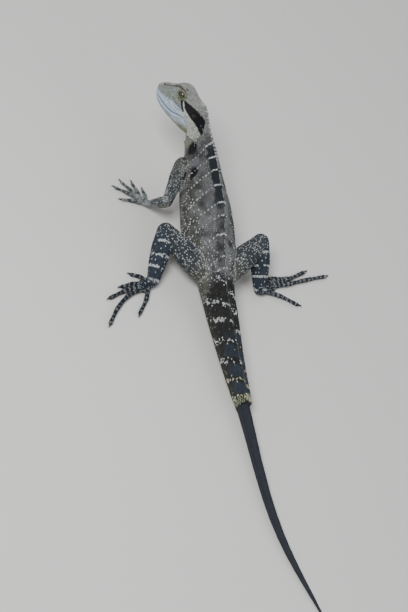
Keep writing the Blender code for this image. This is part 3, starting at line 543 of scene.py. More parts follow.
def digit_sleeve(name, region, points, radii):
    centres, bones = digit_line(points)
    share = np.linspace(0, 1, len(centres))
    knuckle = 1 + 0.09 * np.cos(2 * np.pi * share * bones)
    size = (radii[0] + (radii[1] - radii[0]) * share) * knuckle
    sizes = np.stack((size, size * 0.96), -1)
    end_c, end_s = round_end(centres[-1], unit(centres[-1] - centres[-2]), sizes[-1])
    return swept(name, region, np.concatenate((centres, end_c)), np.concatenate((sizes, end_s)),
                 DIGIT_ROUND)


def all_sleeves():
    """The trunk with the head, the regrown tail, and every part of each limb."""
    names = list(SPINE)
    cut = names.index(FIRST_REGROWN)
    turns = np.arange(ROUND) / ROUND
    trunk = spine_sleeve("trunk", "trunk",
                         [head_section(number, turns) for number in range(len(HEAD_STATIONS))]
                         + [oval(name, turns) for name in names[:cut]])
    tail = spine_sleeve("regrown", "regrown", [oval(name, turns) for name in names[cut:]])
    lead = tail.grid[:1] + (tail.grid[:1] - tail.grid[4:5]) * 1.5
    tail = Sleeve("regrown", "regrown", np.concatenate((lead, tail.grid)),
                  np.concatenate(([-0.1], tail.places)))
    sleeves = [trunk, tail]
    for limbs, parts, radii, digit in ((LEGS, LEG_PARTS, TOE_RADII, "toe"),
                                       (ARMS, ARM_PARTS, FINGER_RADII, "finger")):
        for side, (joints, digits) in limbs.items():
            for (part, profile), start, end in zip(parts, joints, joints[1:]):
                sleeves.append(limb_sleeve(f"{part}_{side}", part, start, end, profile))
            for number, points in enumerate(digits):
                sleeves.append(digit_sleeve(f"{digit}_{side}_{number}", digit, points, radii))
    for sleeve in sleeves:
        sleeve.shrink(COAT_DEPTH)
    return sleeves


def mesh_object(name, points, faces, colours=None, flat=False):
    """An object from points in millimetres and rows of corner numbers."""
    mesh = bpy.data.meshes.new(name)
    corners = faces.shape[1]
    mesh.vertices.add(len(points))
    mesh.vertices.foreach_set("co", (points * MM).astype(np.float32).ravel())
    mesh.loops.add(faces.size)
    mesh.loops.foreach_set("vertex_index", faces.astype(np.int32).ravel())
    mesh.polygons.add(len(faces))
    mesh.polygons.foreach_set("loop_start", np.arange(0, faces.size, corners, dtype=np.int32))
    mesh.update(calc_edges=True)
    mesh.polygons.foreach_set("use_smooth", np.full(len(faces), not flat))
    if colours is not None:
        paint(mesh, colours)
    piece = bpy.data.objects.new(name, mesh)
    bpy.context.scene.collection.objects.link(piece)
    return piece


def paint(mesh, colours):
    """Stores a colour at each vertex."""
    layer = mesh.color_attributes.new("Col", "FLOAT_COLOR", "POINT")
    full = np.ones((len(colours), 4), np.float32)
    full[:, :3] = colours
    layer.data.foreach_set("color", full.ravel())


def read(items, name, width=3, kind=np.float32):
    """The values of all items of a mesh, in a row for each."""
    values = np.empty(len(items) * width, kind)
    items.foreach_get(name, values)
    return values.reshape(-1, width)


def vertices_of(mesh):
    return read(mesh.vertices, "co").astype(float) / MM


def set_vertices(mesh, points):
    mesh.vertices.foreach_set("co", (points * MM).astype(np.float32).ravel())
    mesh.update()


def relax(mesh, weight, rounds):
    """Draws each vertex towards the middle of its neighbours."""
    first, second = read(mesh.edges, "vertices", 2, np.int32).T
    points = vertices_of(mesh)
    count = len(points)
    near = np.maximum(np.bincount(first, minlength=count) + np.bincount(second, minlength=count), 1)
    for _ in range(rounds):
        middle = np.empty_like(points)
        for axis in range(3):
            values = points[:, axis]
            middle[:, axis] = (np.bincount(first, values[second], count)
                               + np.bincount(second, values[first], count)) / near
        points += (middle - points) * weight[:, None]
    set_vertices(mesh, points)


def joined(sleeves):
    """Points and faces of several sleeves, as those of one mesh."""
    points, faces, count = [], [], 0
    for sleeve in sleeves:
        own, sides = sleeve.triangles(count)
        points.append(own)
        faces.append(sides)
        count += len(own)
    return np.concatenate(points), np.concatenate(faces)


def joined_skin(sleeves):
    """One closed surface round all the sleeves, with soft hollows where limbs join."""
    raw = mesh_object("raw", *joined(sleeves))
    step = raw.modifiers.new("join", "REMESH")
    step.mode = "VOXEL"
    step.voxel_size = VOXEL * MM
    graph = bpy.context.evaluated_depsgraph_get()
    mesh = bpy.data.meshes.new_from_object(raw.evaluated_get(graph))
    mesh.name = "skin"
    bpy.data.objects.remove(raw)
    points = vertices_of(mesh)
    relax(mesh, np.full(len(points), 0.5), 3)
    weight = np.zeros(len(points))
    for limbs, spans in ((LEGS, LEG_SPANS), (ARMS, ARM_SPANS)):
        for joints, _ in limbs.values():
            for joint, span in zip(joints, spans):
                away = np.linalg.norm(points - np.array(joint), axis=1)
                weight = np.maximum(weight, 1 - ease(span * 0.55, span, away))
    relax(mesh, weight * 0.6, 22)
    return mesh


def finer_head(mesh):
    """Halves the mesh size over the head."""
    bm = bmesh.new()
    bm.from_mesh(mesh)
    points = head_local(vertices_of(mesh))
    on_head = points[:, 0] > -2
    edges = set()
    for face in bm.faces:
        if all(on_head[vert.index] for vert in face.verts):
            edges.update(face.edges)
    bmesh.ops.subdivide_edges(bm, edges=list(edges), cuts=1, use_grid_fill=True)
    bmesh.ops.triangulate(bm, faces=[face for face in bm.faces if len(face.verts) > 4])
    bm.to_mesh(mesh)
    bm.free()


def eye_axes(side):
    """The eye's centre, outward axis, level axis and upright axis."""
    axis = unit(EYE_FACING * (1, side, 1)) @ HEAD_AXES
    level = unit(np.cross(HEAD_AXES[2], axis))
    upright = np.cross(axis, level)
    tilt = math.radians(LID_TILT) * -side
    turned = level * math.cos(tilt) + upright * math.sin(tilt)
    return in_head(EYE_AT, side), axis, turned, np.cross(axis, turned)


def lid_rim(swing):
    """How far the opening between the lids reaches from its middle, along the eyeball."""
    share = (np.abs(np.cos(swing) / LID_ARCS[0]) ** LID_POWER
             + np.abs(np.sin(swing) / LID_ARCS[1]) ** LID_POWER)
    return share ** (-1 / LID_POWER)


def beyond_lids(points, side):
    """How far points lie beyond the rim of the opening, and from the eye's middle."""
    centre, axis, level, upright = eye_axes(side)
    ways = points - centre
    reach = np.linalg.norm(ways, axis=1)
    ways = ways / np.maximum(reach, 1e-6)[:, None]
    polar = np.arccos(np.clip(ways @ axis, -1, 1)) * EYE_RADIUS
    return polar - lid_rim(np.arctan2(ways @ upright, ways @ level)), reach


def trunk_turns(points):
    """About how far round the head points lie, from the crown by the left."""
    _, y, z = head_local(points).T
    return (np.arctan2(y, z - LEAN_LEVEL) / (2 * np.pi)) % 1


def spot_on(trunk, opening, side):
    """The middle of an opening on one side, and its outward and backward directions."""
    place, turn = opening
    here, outward, back = trunk.frame(np.array([trunk.row_at(place)]), np.array([turn * side]))
    return here[0], outward[0], back[0]


def mouth_line(trunk):
    """The line of the mouth, from its left corner round the snout to its right corner."""
    rows = trunk.row_at(np.linspace(MOUTH_END, 0, MOUTH_POINTS))
    left = trunk.at(rows, np.full(MOUTH_POINTS, MOUTH_TURN))
    right = trunk.at(rows, np.full(MOUTH_POINTS, 1 - MOUTH_TURN))
    share = np.linspace(0, 1, 14)[1:-1, None]
    front = left[-1] * (1 - share) + right[-1] * share
    return np.concatenate((left, front, right[::-1]))


def distance_to(points, line):
    """How far each point is from a close row of points, done in blocks to save memory."""
    away = np.empty(len(points))
    for start in range(0, len(points), BLOCK):
        block = points[start:start + BLOCK]
        away[start:start + BLOCK] = np.sqrt(
            ((block[:, None] - line[None]) ** 2).sum(axis=2).min(axis=1))
    return away


def drape_lids(points, side):
    """Draws the skin over one eyeball into lids with two folds and an opening."""
    beyond, reach = beyond_lids(points, side)
    lid = EYE_RADIUS + 0.42 + 0.3 * bump(beyond, 0.4, 0.3)
    target = np.logaddexp(lid / LID_BLEND, reach / LID_BLEND) * LID_BLEND
    fold = bump(beyond, 1.55, 0.26) + 0.7 * bump(beyond, 2.75, 0.35)
    target -= 0.34 * fold * (1 - ease(LID_REACH - 1, LID_REACH, reach))
    target += (EYE_RADIUS - 1.6 - target) * (1 - ease(-0.22, 0.02, beyond))
    near = (beyond < 4.5) & (reach < 8)
    centre = in_head(EYE_AT, side)
    points[near] = centre + unit(points[near] - centre) * target[near, None]


def shape_head(mesh, trunk):
    """Cuts the mouth, nostrils and ears and drapes the lids over the eyeballs."""
    points = vertices_of(mesh)
    ways = read(mesh.vertex_normals, "vector").astype(float)
    local = head_local(points)
    chosen = np.flatnonzero((local[:, 0] > -8) & (np.abs(local[:, 2]) < 12))
    away = distance_to(points[chosen], mouth_line(trunk))
    groove = 0.2 * bump(away, 1.1, 0.5) - 0.7 * bump(away, 0, 0.32)
    points[chosen] += ways[chosen] * groove[:, None]
    for side in (1, -1):
        root, outward, _ = spot_on(trunk, NOSTRIL_PLACE, side)
        away = np.linalg.norm(points - root, axis=1)
        push = 0.45 * bump(away, 1.35, 0.45) - 1.7 * np.exp(-(away / 0.72) ** 4)
        points += np.outer(push * (away < 3), outward)
        root, outward, _ = spot_on(trunk, EAR_PLACE, side)
        away = np.linalg.norm(points - root, axis=1)
        push = 0.35 * bump(away, EAR_RADIUS * 1.2, 0.6)
        push -= 1.1 * (1 - ease(EAR_RADIUS * 0.72, EAR_RADIUS * 1.05, away))
        points += np.outer(push * (away < 6), outward)
        drape_lids(points, side)
    set_vertices(mesh, points)


def throat_fold(points, trunk):
    """How far the skin stands out or in by the fold that crosses the throat."""
    place, first, last = THROAT_FOLD
    turns = np.linspace(first, last, 60)
    line = trunk.at(trunk.row_at(place + 0.5 * np.abs(turns - 0.5)), turns)
    near = np.flatnonzero(np.linalg.norm(points - line.mean(axis=0), axis=1) < 26)
    away = distance_to(points[near], line)
    push = np.zeros(len(points))
    push[near] = 0.55 * bump(away, 2.2, 1.1) - 0.9 * bump(away, 0, 0.8)
    return push


def fold_skin(mesh, trunk):
    """Shallow folds of loose skin on the neck, behind the arms and before the legs."""
    points = vertices_of(mesh)
    ways = read(mesh.vertex_normals, "vector").astype(float)
    push = throat_fold(points, trunk)
    warp = cloud(points, 9.0, 31) * 7
    wave = np.cos(2 * np.pi * (points[:, 0] * 0.9 - points[:, 2] * 0.35 + warp) / 4.6)
    for centre, span, depth in FOLDS:
        away = np.linalg.norm(points - np.array(centre), axis=1)
        push += wave * depth * 0.6 * (1 - ease(span * 0.35, span, away))
    push += (cloud(points, 5.0, 32) - 0.5) * 0.35
    points += ways * push[:, None]
    points[:, 2] = np.maximum(points[:, 2], 0.0)
    set_vertices(mesh, points)


def region_on_trunk(place):
    for region, end in (("head", HEAD_END), ("neck", NECK_END), ("trunk", TRUNK_END)):
        if place < end:
            return region
    return "tail"


def lay_scales(sleeve, seed):
    """Rows, turns and sizes of the scales of one sleeve, each row set against the next."""
    rings = []
    at, last, shift = 0.4, 0, 0
    stations = np.arange(len(sleeve.along))
    while at < sleeve.along[-1] - 0.3:
        row = np.interp(at, sleeve.along, stations)
        region = sleeve.region
        if region == "trunk":
            region = region_on_trunk(np.interp(row, stations, sleeve.places))
        long, wide = SCALE_SIZES[region]
        arcs = sleeve.arcs[int(row)]
        number = max(5, round(arcs[-1] / wide))
        if last and abs(number - last) / last < 0.05:
            number = last
        marks = (np.arange(number) + 0.5 * shift) / number * arcs[-1]
        turns = np.interp(marks, arcs, np.arange(len(arcs)) / (len(arcs) - 1))
        wide = arcs[-1] / number
        rings.append((np.full(number, row), turns, np.full(number, long), np.full(number, wide)))
        last, shift = number, 1 - shift
        at += long * ROW_SHARE
    rows, turns, longs, wides = (np.concatenate(item) for item in zip(*rings))
    rows = rows + (draws(seed, len(rows)) - 0.5) * 0.35
    turns = turns + (draws(seed + 1, len(rows)) - 0.5) * 0.002
    return rows, turns, longs, wides


class Roots:
    """Where the scales of a sleeve grow: place, directions, size, and place in the atlas."""

    def __init__(self, sleeve, rows, turns, longs, wides):
        self.sleeve = sleeve
        self.rows, self.turns = rows, turns % 1
        self.longs, self.wides = longs, wides
        self.points, self.outward, self.back = sleeve.frame(rows, self.turns)
        stations = np.arange(len(sleeve.grid))
        self.girth = np.interp(rows, stations, sleeve.arcs[:, -1])
        self.along = np.interp(rows, stations, sleeve.along)
        self.places = np.interp(rows, stations, sleeve.places)
        self.ridge = sleeve.at(rows, np.zeros(len(rows)))[:, 0]

    def keep(self, chosen):
        for name, value in vars(self).items():
            if isinstance(value, np.ndarray):
                setattr(self, name, value[chosen])

    def settle(self, tree):
        """Moves the roots onto the skin and drops those that lie inside the body."""
        found = [tree.find_nearest(Vector(point)) for point in (self.points * MM).tolist()]
        spots = np.array([item[0] for item in found]) / MM
        ways = unit(np.array([item[1] for item in found]))
        rise = ((self.points - spots) * ways).sum(axis=1)
        good = (np.abs(rise) < 3.0) & (rise > -1.7)
        good &= (ways * self.outward).sum(axis=1) > -0.2
        self.points, self.outward = spots, unit(ways + self.outward * 0.35)
        self.back = square_to(self.outward, self.back)
        self.keep(good)

    def atlas_spots(self):
        left, low, scale = self.sleeve.atlas
        most = self.sleeve.arcs[:, -1].max()
        return np.stack((left + (self.turns * most) * scale, low + self.along * scale), -1)


def place_atlas(sleeves):
    """Packs the unrolled sleeves side by side on one square."""
    boxes = sorted(sleeves, key=lambda sleeve: -sleeve.along[-1])
    left, low, tall = 0.0, 0.0, 0.0
    spots = {}
    for sleeve in boxes:
        wide, high = sleeve.arcs[:, -1].max() + 2, sleeve.along[-1] + 2
        if left + wide > ATLAS_WIDTH:
            left, low, tall = 0.0, low + tall, 0.0
        spots[sleeve.name] = (left, low)
        left += wide
        tall = max(tall, high)
    scale = 0.98 / max(ATLAS_WIDTH, low + tall)
    for sleeve in sleeves:
        x, y = spots[sleeve.name]
        sleeve.atlas = (0.01 + x * scale, 0.01 + y * scale, scale)


# A form has corners in units of its own length, breadth and height, then faces, the painted shade
# of each corner (darker at its base, lighter at its tip and keel), and how far each takes the colour of
# the scale's tip.
KEELED = (
    np.array(((-0.5, 0, -0.5), (-0.12, 0.52, -0.25), (0.3, 0.36, 0.3), (0.66, 0, 0.95),
              (0.3, -0.36, 0.3), (-0.12, -0.52, -0.25), (0.08, 0, 1.0), (0.0, 0, -1.0))),
    np.array(((0, 6, 1), (1, 6, 2), (2, 6, 3), (3, 6, 4), (4, 6, 5), (5, 6, 0),
              (0, 1, 7), (1, 2, 7), (2, 3, 7), (3, 4, 7), (4, 5, 7), (5, 0, 7))),
    np.array((0.7, 0.8, 0.95, 1.12, 0.95, 0.8, 1.06, 0.6)),
    np.array((0.0, 0.0, 0.25, 1.0, 0.25, 0.0, 0.7, 0.0)),
)


def dome_form(outline, top_share, top_height):
    """A low dome over a closed outline, with a closed underside."""
    sides = len(outline)
    low = np.column_stack((outline, np.full(sides, -0.6)))
    high = np.column_stack((outline * top_share, np.full(sides, top_height)))
    points = np.concatenate((low, high, ((0, 0, 1.0), (0, 0, -1.0))))
    number = np.arange(sides)
    after = (number + 1) % sides
    top, base = 2 * sides, 2 * sides + 1
    faces = np.concatenate((
        np.stack((number, after, after + sides), -1),
        np.stack((number, after + sides, number + sides), -1),
        np.stack((number + sides, after + sides, np.full(sides, top)), -1),
        np.stack((after, number, np.full(sides, base)), -1),
    ))
    # painted shade: the dome darker round its base and lighter on its top
    shade = np.concatenate((np.full(sides, 0.66), np.full(sides, 1.0), (1.05, 0.6)))
    tips = np.concatenate((np.zeros(sides), np.full(sides, 0.3), (1.0, 0.0)))
    return points, faces, shade, tips


def round_outline(sides, size):
    angles = 2 * np.pi * (np.arange(sides) + 0.5) / sides
    return np.stack((np.cos(angles), np.sin(angles)), -1) * size


def spine_form(sides=8, levels=5):
    """A tapered spine that bends towards the tail."""
    points, shade = [], []
    for level in range(levels):
        share = level / levels
        thick = (1 - share) ** 0.8
        angles = 2 * np.pi * np.arange(sides) / sides
        points.append(np.column_stack((np.cos(angles) * 0.5 * thick + 0.55 * share ** 1.6,
                                       np.sin(angles) * 0.5 * thick,
                                       np.full(sides, share * 1.12 - 0.12))))
        # painted shade: the spine darker at its base and lighter towards its tip
        shade += [0.8 + 0.3 * share] * sides
    points.append(((0.62, 0, 1.0), (0, 0, -0.2)))
    shade += [1.15, 0.7]
    faces = []
    for level in range(levels - 1):
        for side in range(sides):
            a, b = level * sides + side, level * sides + (side + 1) % sides
            faces += [(a, b, b + sides), (a, b + sides, a + sides)]
    tip, base = levels * sides, levels * sides + 1
    for side in range(sides):
        a, b = (levels - 1) * sides + side, (levels - 1) * sides + (side + 1) % sides
        faces += [(a, b, tip), ((side + 1) % sides, side, base)]
    return np.concatenate(points), np.array(faces), np.array(shade), np.zeros(len(shade))


BEAD = dome_form(round_outline(6, 0.55), 0.72, 0.7)
PLATE = dome_form(np.array(((0.47, 0.3), (0.34, 0.47), (-0.34, 0.47), (-0.47, 0.3), (-0.47, -0.3),
                            (-0.34, -0.47), (0.34, -0.47), (0.47, -0.3))), 0.84, 0.8)
SPINE_FORM = spine_form()


class Coat:
    """Gathers copies of small forms and joins them into pieces."""

    def __init__(self, name, slot, material):
        self.name, self.slot, self.material = name, slot, material
        self.batches = []

    def add(self, form, points, outward, back, sizes, colours, spots, tips=None):
        if len(points) == 0:
            return
        corners, faces, shade, tipped = form
        across = np.cross(outward, back)
        local = corners[None] * sizes[:, None, :]
        world = (points[:, None] + back[:, None] * local[..., :1] + across[:, None] * local[..., 1:2]
                 + outward[:, None] * local[..., 2:])
        world[..., 2] = np.maximum(world[..., 2], 0.0)
        hues = np.repeat(colours[:, None], len(corners), axis=1)
        # the tip's colour: a painted highlight on the tips and keels of most scales, a pale speck on
        # flecked ones
        if tips is not None:
            hues += (tips - colours)[:, None] * tipped[None, :, None]
        # each corner takes its painted shade
        hues = np.clip(hues * shade[None, :, None], 0, 1)
        marks = spots[:, None] + np.clip(corners[None, :, :2], -0.6, 0.6) * PATCH / 1.2
        self.batches.append((world, faces, hues, marks))

    def build(self):
        count, group, size = 0, [], 0
        for world, faces, hues, marks in self.batches:
            start = 0
            while start < len(world):
                room = max(1, (MOST_TRIANGLES - size) // len(faces))
                end = min(len(world), start + room)
                group.append((world[start:end], faces, hues[start:end], marks[start:end]))
                size += (end - start) * len(faces)
                start = end
                if size > MOST_TRIANGLES - 200:
                    self.piece(group, count)
                    count, group, size = count + 1, [], 0
        if group:
            self.piece(group, count)

    def piece(self, group, number):
        points, faces, hues, marks, count = [], [], [], [], 0
        for world, form, colours, spots in group:
            copies, corners = world.shape[:2]
            points.append(world.reshape(-1, 3))
            own = form[None] + corners * np.arange(copies)[:, None, None] + count
            faces.append(own.reshape(-1, 3))
            hues.append(colours.reshape(-1, 3))
            marks.append(spots.reshape(-1, 2))
            count += copies * corners
        faces = np.concatenate(faces)
        piece = mesh_object(f"{self.name}_{number + 1}", np.concatenate(points), faces,
                            np.concatenate(hues), flat=self.name.startswith("scales"))
        layer = piece.data.uv_layers.new(name="OFBake")
        spots = np.concatenate(marks)[faces.ravel()]
        layer.data.foreach_set("uv", spots.astype(np.float32).ravel())
        dress(piece, self.material)


def dress(piece, material):
    piece.data.materials.clear()
    piece.data.materials.append(material)
    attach(piece, "root")


def mix(first, second, share):
    """A blend of two colours, by one share or by one for each scale."""
    share = np.asarray(share, float)[..., None]
    return first * (1 - share) + second * share


def washed(base, *washes):
    """Lays colours over a ground one after the other, each by its own share."""
    for colour, share in washes:
        base = mix(base, colour, share)
    return base


def crest_distance(roots):
    side = np.where(roots.turns <= 0.5, 1, -1)
    return side, np.minimum(roots.turns, 1 - roots.turns) * roots.girth


def gap_to(values, marks):
    """How far each value is from the nearest mark."""
    return np.abs(values[:, None] - np.array(marks, float)[None]).min(axis=1)


def gap_to_line(x, z, line):
    """How far places on the side of the head are from a line, and how far along it they are."""
    best, along = np.full(len(x), 99.0), np.zeros(len(x))
    line = np.array(line, float)
    for number, (start, end) in enumerate(zip(line, line[1:])):
        step = end - start
        share = np.clip(((x - start[0]) * step[0] + (z - start[1]) * step[1]) / (step @ step), 0, 1)
        gap = np.hypot(x - start[0] - share * step[0], z - start[1] - share * step[1])
        along = np.where(gap < best, (number + share) / (len(line) - 1), along)
        best = np.minimum(best, gap)
    return best, along


def on_patches(roots, share, patches):
    """How surely each scale lies on one of the patches."""
    inside = np.zeros(len(share))
    ragged = 0.5 * (cloud(roots.points, 3.0, 49) - 0.5)
    for centre_x, centre_share, half_x, half_share in patches:
        away = np.hypot((roots.ridge - centre_x) / half_x, (share - centre_share) / half_share)
        inside = np.maximum(inside, ease(1.0, 0.7, away + ragged))
    return inside


def line_distance(x, away):
    """How far each scale is from the nearest pale line that crosses the back."""
    return gap_to(x + 0.2 * np.minimum(away, 9) + 0.8 * np.maximum(away - 9, 0), CROSS_LINES)


def dark_blocks(roots, left, away):
    """How surely each scale lies in one of the dark blocks beside the crest."""
    x = roots.ridge
    reach = 7.5 + 7 * cloud(roots.points, 5.0, 48)
    block = left * ease(1.5, -1.5, away - reach) * ease(0.75, 1.3, line_distance(x, away))
    return block * ease(-12, -4, x) * (0.38 + 0.62 * ease(46, 62, x))


def back_ground(roots, left, away, share):
    """Colours of the neck and trunk before their white scales."""
    x, points = roots.ridge, roots.points
    blotch, fine = cloud(points, 6.5, 41), cloud(points, 2.3, 42)
    uneven = draws(50, len(x))
    nape = ease(0.52, 0.62, cloud(points, 3.4, 66)) * ease(97, 106, x)
    fold = ease(113, 116, x) * ease(125, 122, x) * ease(0.22, 0.26, share)
    base = washed(
        FLANK,
        (PALE_FLANK, ease(0.5, 0.7, blotch) * 0.8),
        (SLATE, ease(0.44, 0.28, blotch) * 0.6),
        (PALE_FLANK, ease(9, 12, away) * ease(24, 17, away) * ease(-4, 12, x) * left * 0.5),
        (OLIVE, ease(0.12, 0.2, share) * ease(0.35, 0.3, share) * (0.25 + 0.45 * ease(45, 5, x))),
        (NAPE, ease(100, 114, x) * ease(0.32, 0.26, share) * 0.7),
        (SLATE, nape * ease(0.26, 0.2, share) * 0.6),
        (UNDER, ease(0.33, 0.41, share)),
        (OLIVE_FOLD, fold * ease(0.42, 0.36, share) * 0.85),
        (mix(SLATE, BROWN, ease(48, 30, x) * 0.7), dark_blocks(roots, left, away)),
        # painted shadow: a dark line just left of the crest, where the crest shades that side
        (SLATE, left * ease(2.6, 1.9, away) * ease(-6, -2, x) * ease(96, 90, x) * 0.8),
        # painted light on the strip to the right of the crest
        (LIT_STRIP, on_lit_strip(x, left, away) * (0.6 + 0.4 * fine)),
        (PALE_BLUE, on_patches(roots, share, (PALE_PATCH,)) * 0.55),
        # black on the patches: a dark mark on the neck, and partly painted armpit shade behind the arm
        (BLACK, on_patches(roots, share, DARK_PATCHES_AND_ARMPIT_SHADE) * 0.98),
    )
    base = base * (0.74 + 0.44 * fine + 0.16 * (uneven - 0.5) - 0.25 * (uneven < 0.08))[:, None]
    return base * (0.94 - 0.16 * ease(66, 82, x) * (share < 0.3))[:, None]


def on_lit_strip(x, left, away):
    """How surely each scale lies on the strip along the right of the crest, painted paler as painted
    light on that side of the back.
    """
    return ease(10, 6.5, away) * ~left * ease(-12, 0, x)


def back_marks(roots, left, away, share):
    """The white scales of the neck and trunk, and those with pale tips."""
    x = roots.ridge
    line_gap = line_distance(x, away)
    white = (line_gap < 0.5) & (away > 0.9) & (x > -12) & (away < np.where(left, 10, 5))
    white &= (draws(50, len(x)) < 0.62) | (x > 52)
    beads = np.abs((away / 2.9) % 1 - 0.5) < 0.2
    white |= (line_gap < 0.55) & (away >= 10) & (share < 0.31) & beads & (x > -14)
    first_dot = 64 + 8 * (cloud(roots.points, 6.5, 41) - 0.5)
    dotted = one_in_each(roots.along, away, 2.7, 60, 0.62) & (x < first_dot)
    white |= dotted & (share > 0.15 - 0.11 * ease(24, 0, x)) & (share < 0.3)
    thick = 0.42 + 0.4 * ease(50, 10, x) + 0.25 * ease(0.14, 0.24, share)
    flecked = one_in_each(roots.along, away, 1.9, 51) & (cloud(roots.points, 8.0, 44) < thick)
    flecked &= (share < 0.34) & (dark_blocks(roots, left, away) < 0.35)
    flecked &= (on_lit_strip(x, left, away) < 0.5) & (on_patches(roots, share, DARK_PATCHES_AND_ARMPIT_SHADE) < 0.1)
    return white, flecked


def tail_colours(roots, left, away, share):
    """The same for the tail in front of its break: dark, with broken white cross bands."""
    x, points = roots.ridge, roots.points
    fine = cloud(points, 2.6, 45)
    slant = x + away * np.where(left, -0.45, 0.12) + 3.2 * (cloud(points, 4.5, 53) - 0.5)
    gap = np.where(left, gap_to(slant, TAIL_BANDS_LEFT), gap_to(slant, TAIL_BANDS_RIGHT))
    base = washed(
        TAIL_DARK,
        (OLIVE, ease(0.16, 0.3, share) * 0.2 + 0.1 * fine),
        (TAIL_BLUE, ease(-66, -80, x) * ease(17, 13, away) * ease(2.0, 4.0, gap)),
        (UNDER * 0.6, ease(0.37, 0.42, share) * 0.7),
    )
    thick = 0.55 + 1.4 * ease(0.42, 0.8, cloud(points, 4.0, 54))
    white = (gap < thick) & (cloud(points, 2.7, 43) > 0.37) & (draws(46, len(x)) < 0.72)
    white |= (gap < 3.2) & (draws(47, len(x)) < 0.09)
    white &= (away > 1.0) & (share < np.where(left, 0.31, 0.26))
    flecked = one_in_each(roots.along, away, 3.6, 55, 0.45) & (share > 0.05) & (share < 0.34)
    return base * (0.7 + 0.6 * fine)[:, None], white, flecked


def trunk_colours(roots):
    """Colours of the neck, trunk and tail, the white scales and those with pale tips; the other scales'
    tips get a painted highlight.
    """
    side, away = crest_distance(roots)
    left, share, count = side > 0, away / roots.girth, len(away)
    border = 9 * cloud(roots.points, 3.0, 58) + 9 * draws(68, count) + 12 * ease(0.1, 0.22, share)
    on_tail = roots.ridge + border < -6
    tail, *tail_marks = tail_colours(roots, left, away, share)
    base = np.where(on_tail[:, None], tail, back_ground(roots, left, away, share))
    white, flecked = np.where(on_tail, tail_marks, back_marks(roots, left, away, share))
    bright = mix(SPOT, YELLOWISH, ease(-90, -120, roots.ridge) * 0.7)
    bright = bright * (0.46 + 0.5 * draws(56, count) + 0.2 * (away < 10) * ~on_tail)[:, None]
    colours = np.where(white[:, None], bright, base)
    ridge = (away < 0.9) & (roots.ridge > -6)
    colours = np.where(ridge[:, None], CREST_PALE * 0.6, colours)
    # flecked scales get pale tips; all others get a painted highlight on their tips and keels
    bright = mix(colours, SPOT, 0.25 + 0.65 * draws(59, count))
    tips = np.where(flecked[:, None], bright, colours * (1.05 + 0.3 * draws(57, count))[:, None])
    return colours, tips, white, flecked


def height_on(line, x):
    """The height of a line on the side of the head at each x."""
    return np.interp(x, *np.array(line).T)


def inside_band(x, z):
    """How surely a place on the side of the head lies in the black band behind the eye."""
    inside = ease(-0.2, 0.3, height_on(BAND_TOP, x) - z) * ease(-0.2, 0.3, z - height_on(BAND_LOW, x))
    gap, along = gap_to_line(x, z, BLACK_PRONG)
    return np.maximum(inside * ease(-9.8, -9.3, x) * (x < 21), ease(0.3, -0.2, gap - 0.95 - 0.35 * along))


def on_jowl(x, z, share):
    """How surely a place lies on the pale point of skin behind the jaw, below the black band."""
    inside = ease(-8.6, -7.8, x) * ease(10, 4, x) * ease(0.4, -0.5, z - height_on(BAND_LOW, x))
    return inside * ease(-11.2, -10.4, z) * (share < 0.4)


def head_base(x, z, mouth, share, broad):
    """The head's broad tints, before its lines and specks."""
    under_band = ease(0.6, -0.6, z - height_on(BAND_LOW, x))
    cheek = ease(-4, 2, x) * ease(22, 16, x) * under_band * ease(0.5, 2.5, z - mouth)
    lip = ease(0.9, -0.6, z - mouth - height_on(LIP_TOP, x)) * ease(3, 10, x) * (share > 0.16)
    eye_gap = np.hypot(x - EYE_AT[0] - 1, z - EYE_AT[2] + 1.2)
    base = washed(
        HEAD_GREY,
        (CROWN, ease(0.14, 0.1, share)),
        (SNOUT, ease(36, 42, x) * ease(0.17, 0.12, share)),
        (LORE, ease(29, 33, x) * ease(48, 43, x) * ease(0.13, 0.16, share)),
        (LID, ease(7.8, 4.2, eye_gap) * ease(0.09, 0.12, share) * 0.6),
        (LIP, lip * 0.9),
        (CHEEK, np.maximum(cheek, on_jowl(x, z, share)) * 0.9),
    )
    base = base * (0.88 + 0.22 * broad)[:, None]
    throat = mix(CHIN, THROAT, ease(30, 4, x + 12 * broad - 6))
    return mix(base, throat, ease(0.38, 0.43, share + 0.05 * (broad - 0.5)))


def head_lines(base, x, z, share):
    """Lays the painted shadow along the brow ridge before the eye and in a notch above it, and the dark
    line to the nostril, over the head.
    """
    edge = 0.126 + 0.012 * ease(35, 26, x)
    brow_shadow = ease(0.014, 0.008, np.abs(share - edge)) * ease(22, 25, x) * ease(48, 45, x)
    notch = ease(1.6, 1.0, np.hypot((x - 24.2) / 1.3, z - 26.2)) * (share > 0.08)
    gap, _ = gap_to_line(x, z, LORE_LINE)
    # painted shadow under the brow ridge and in the notch above the eye
    return washed(base, (BROW_SHADOW, np.maximum(brow_shadow * 0.85, notch)),
                  (LORE_DARK, ease(0.75, 0.35, gap) * 0.8 * (share > 0.15)))


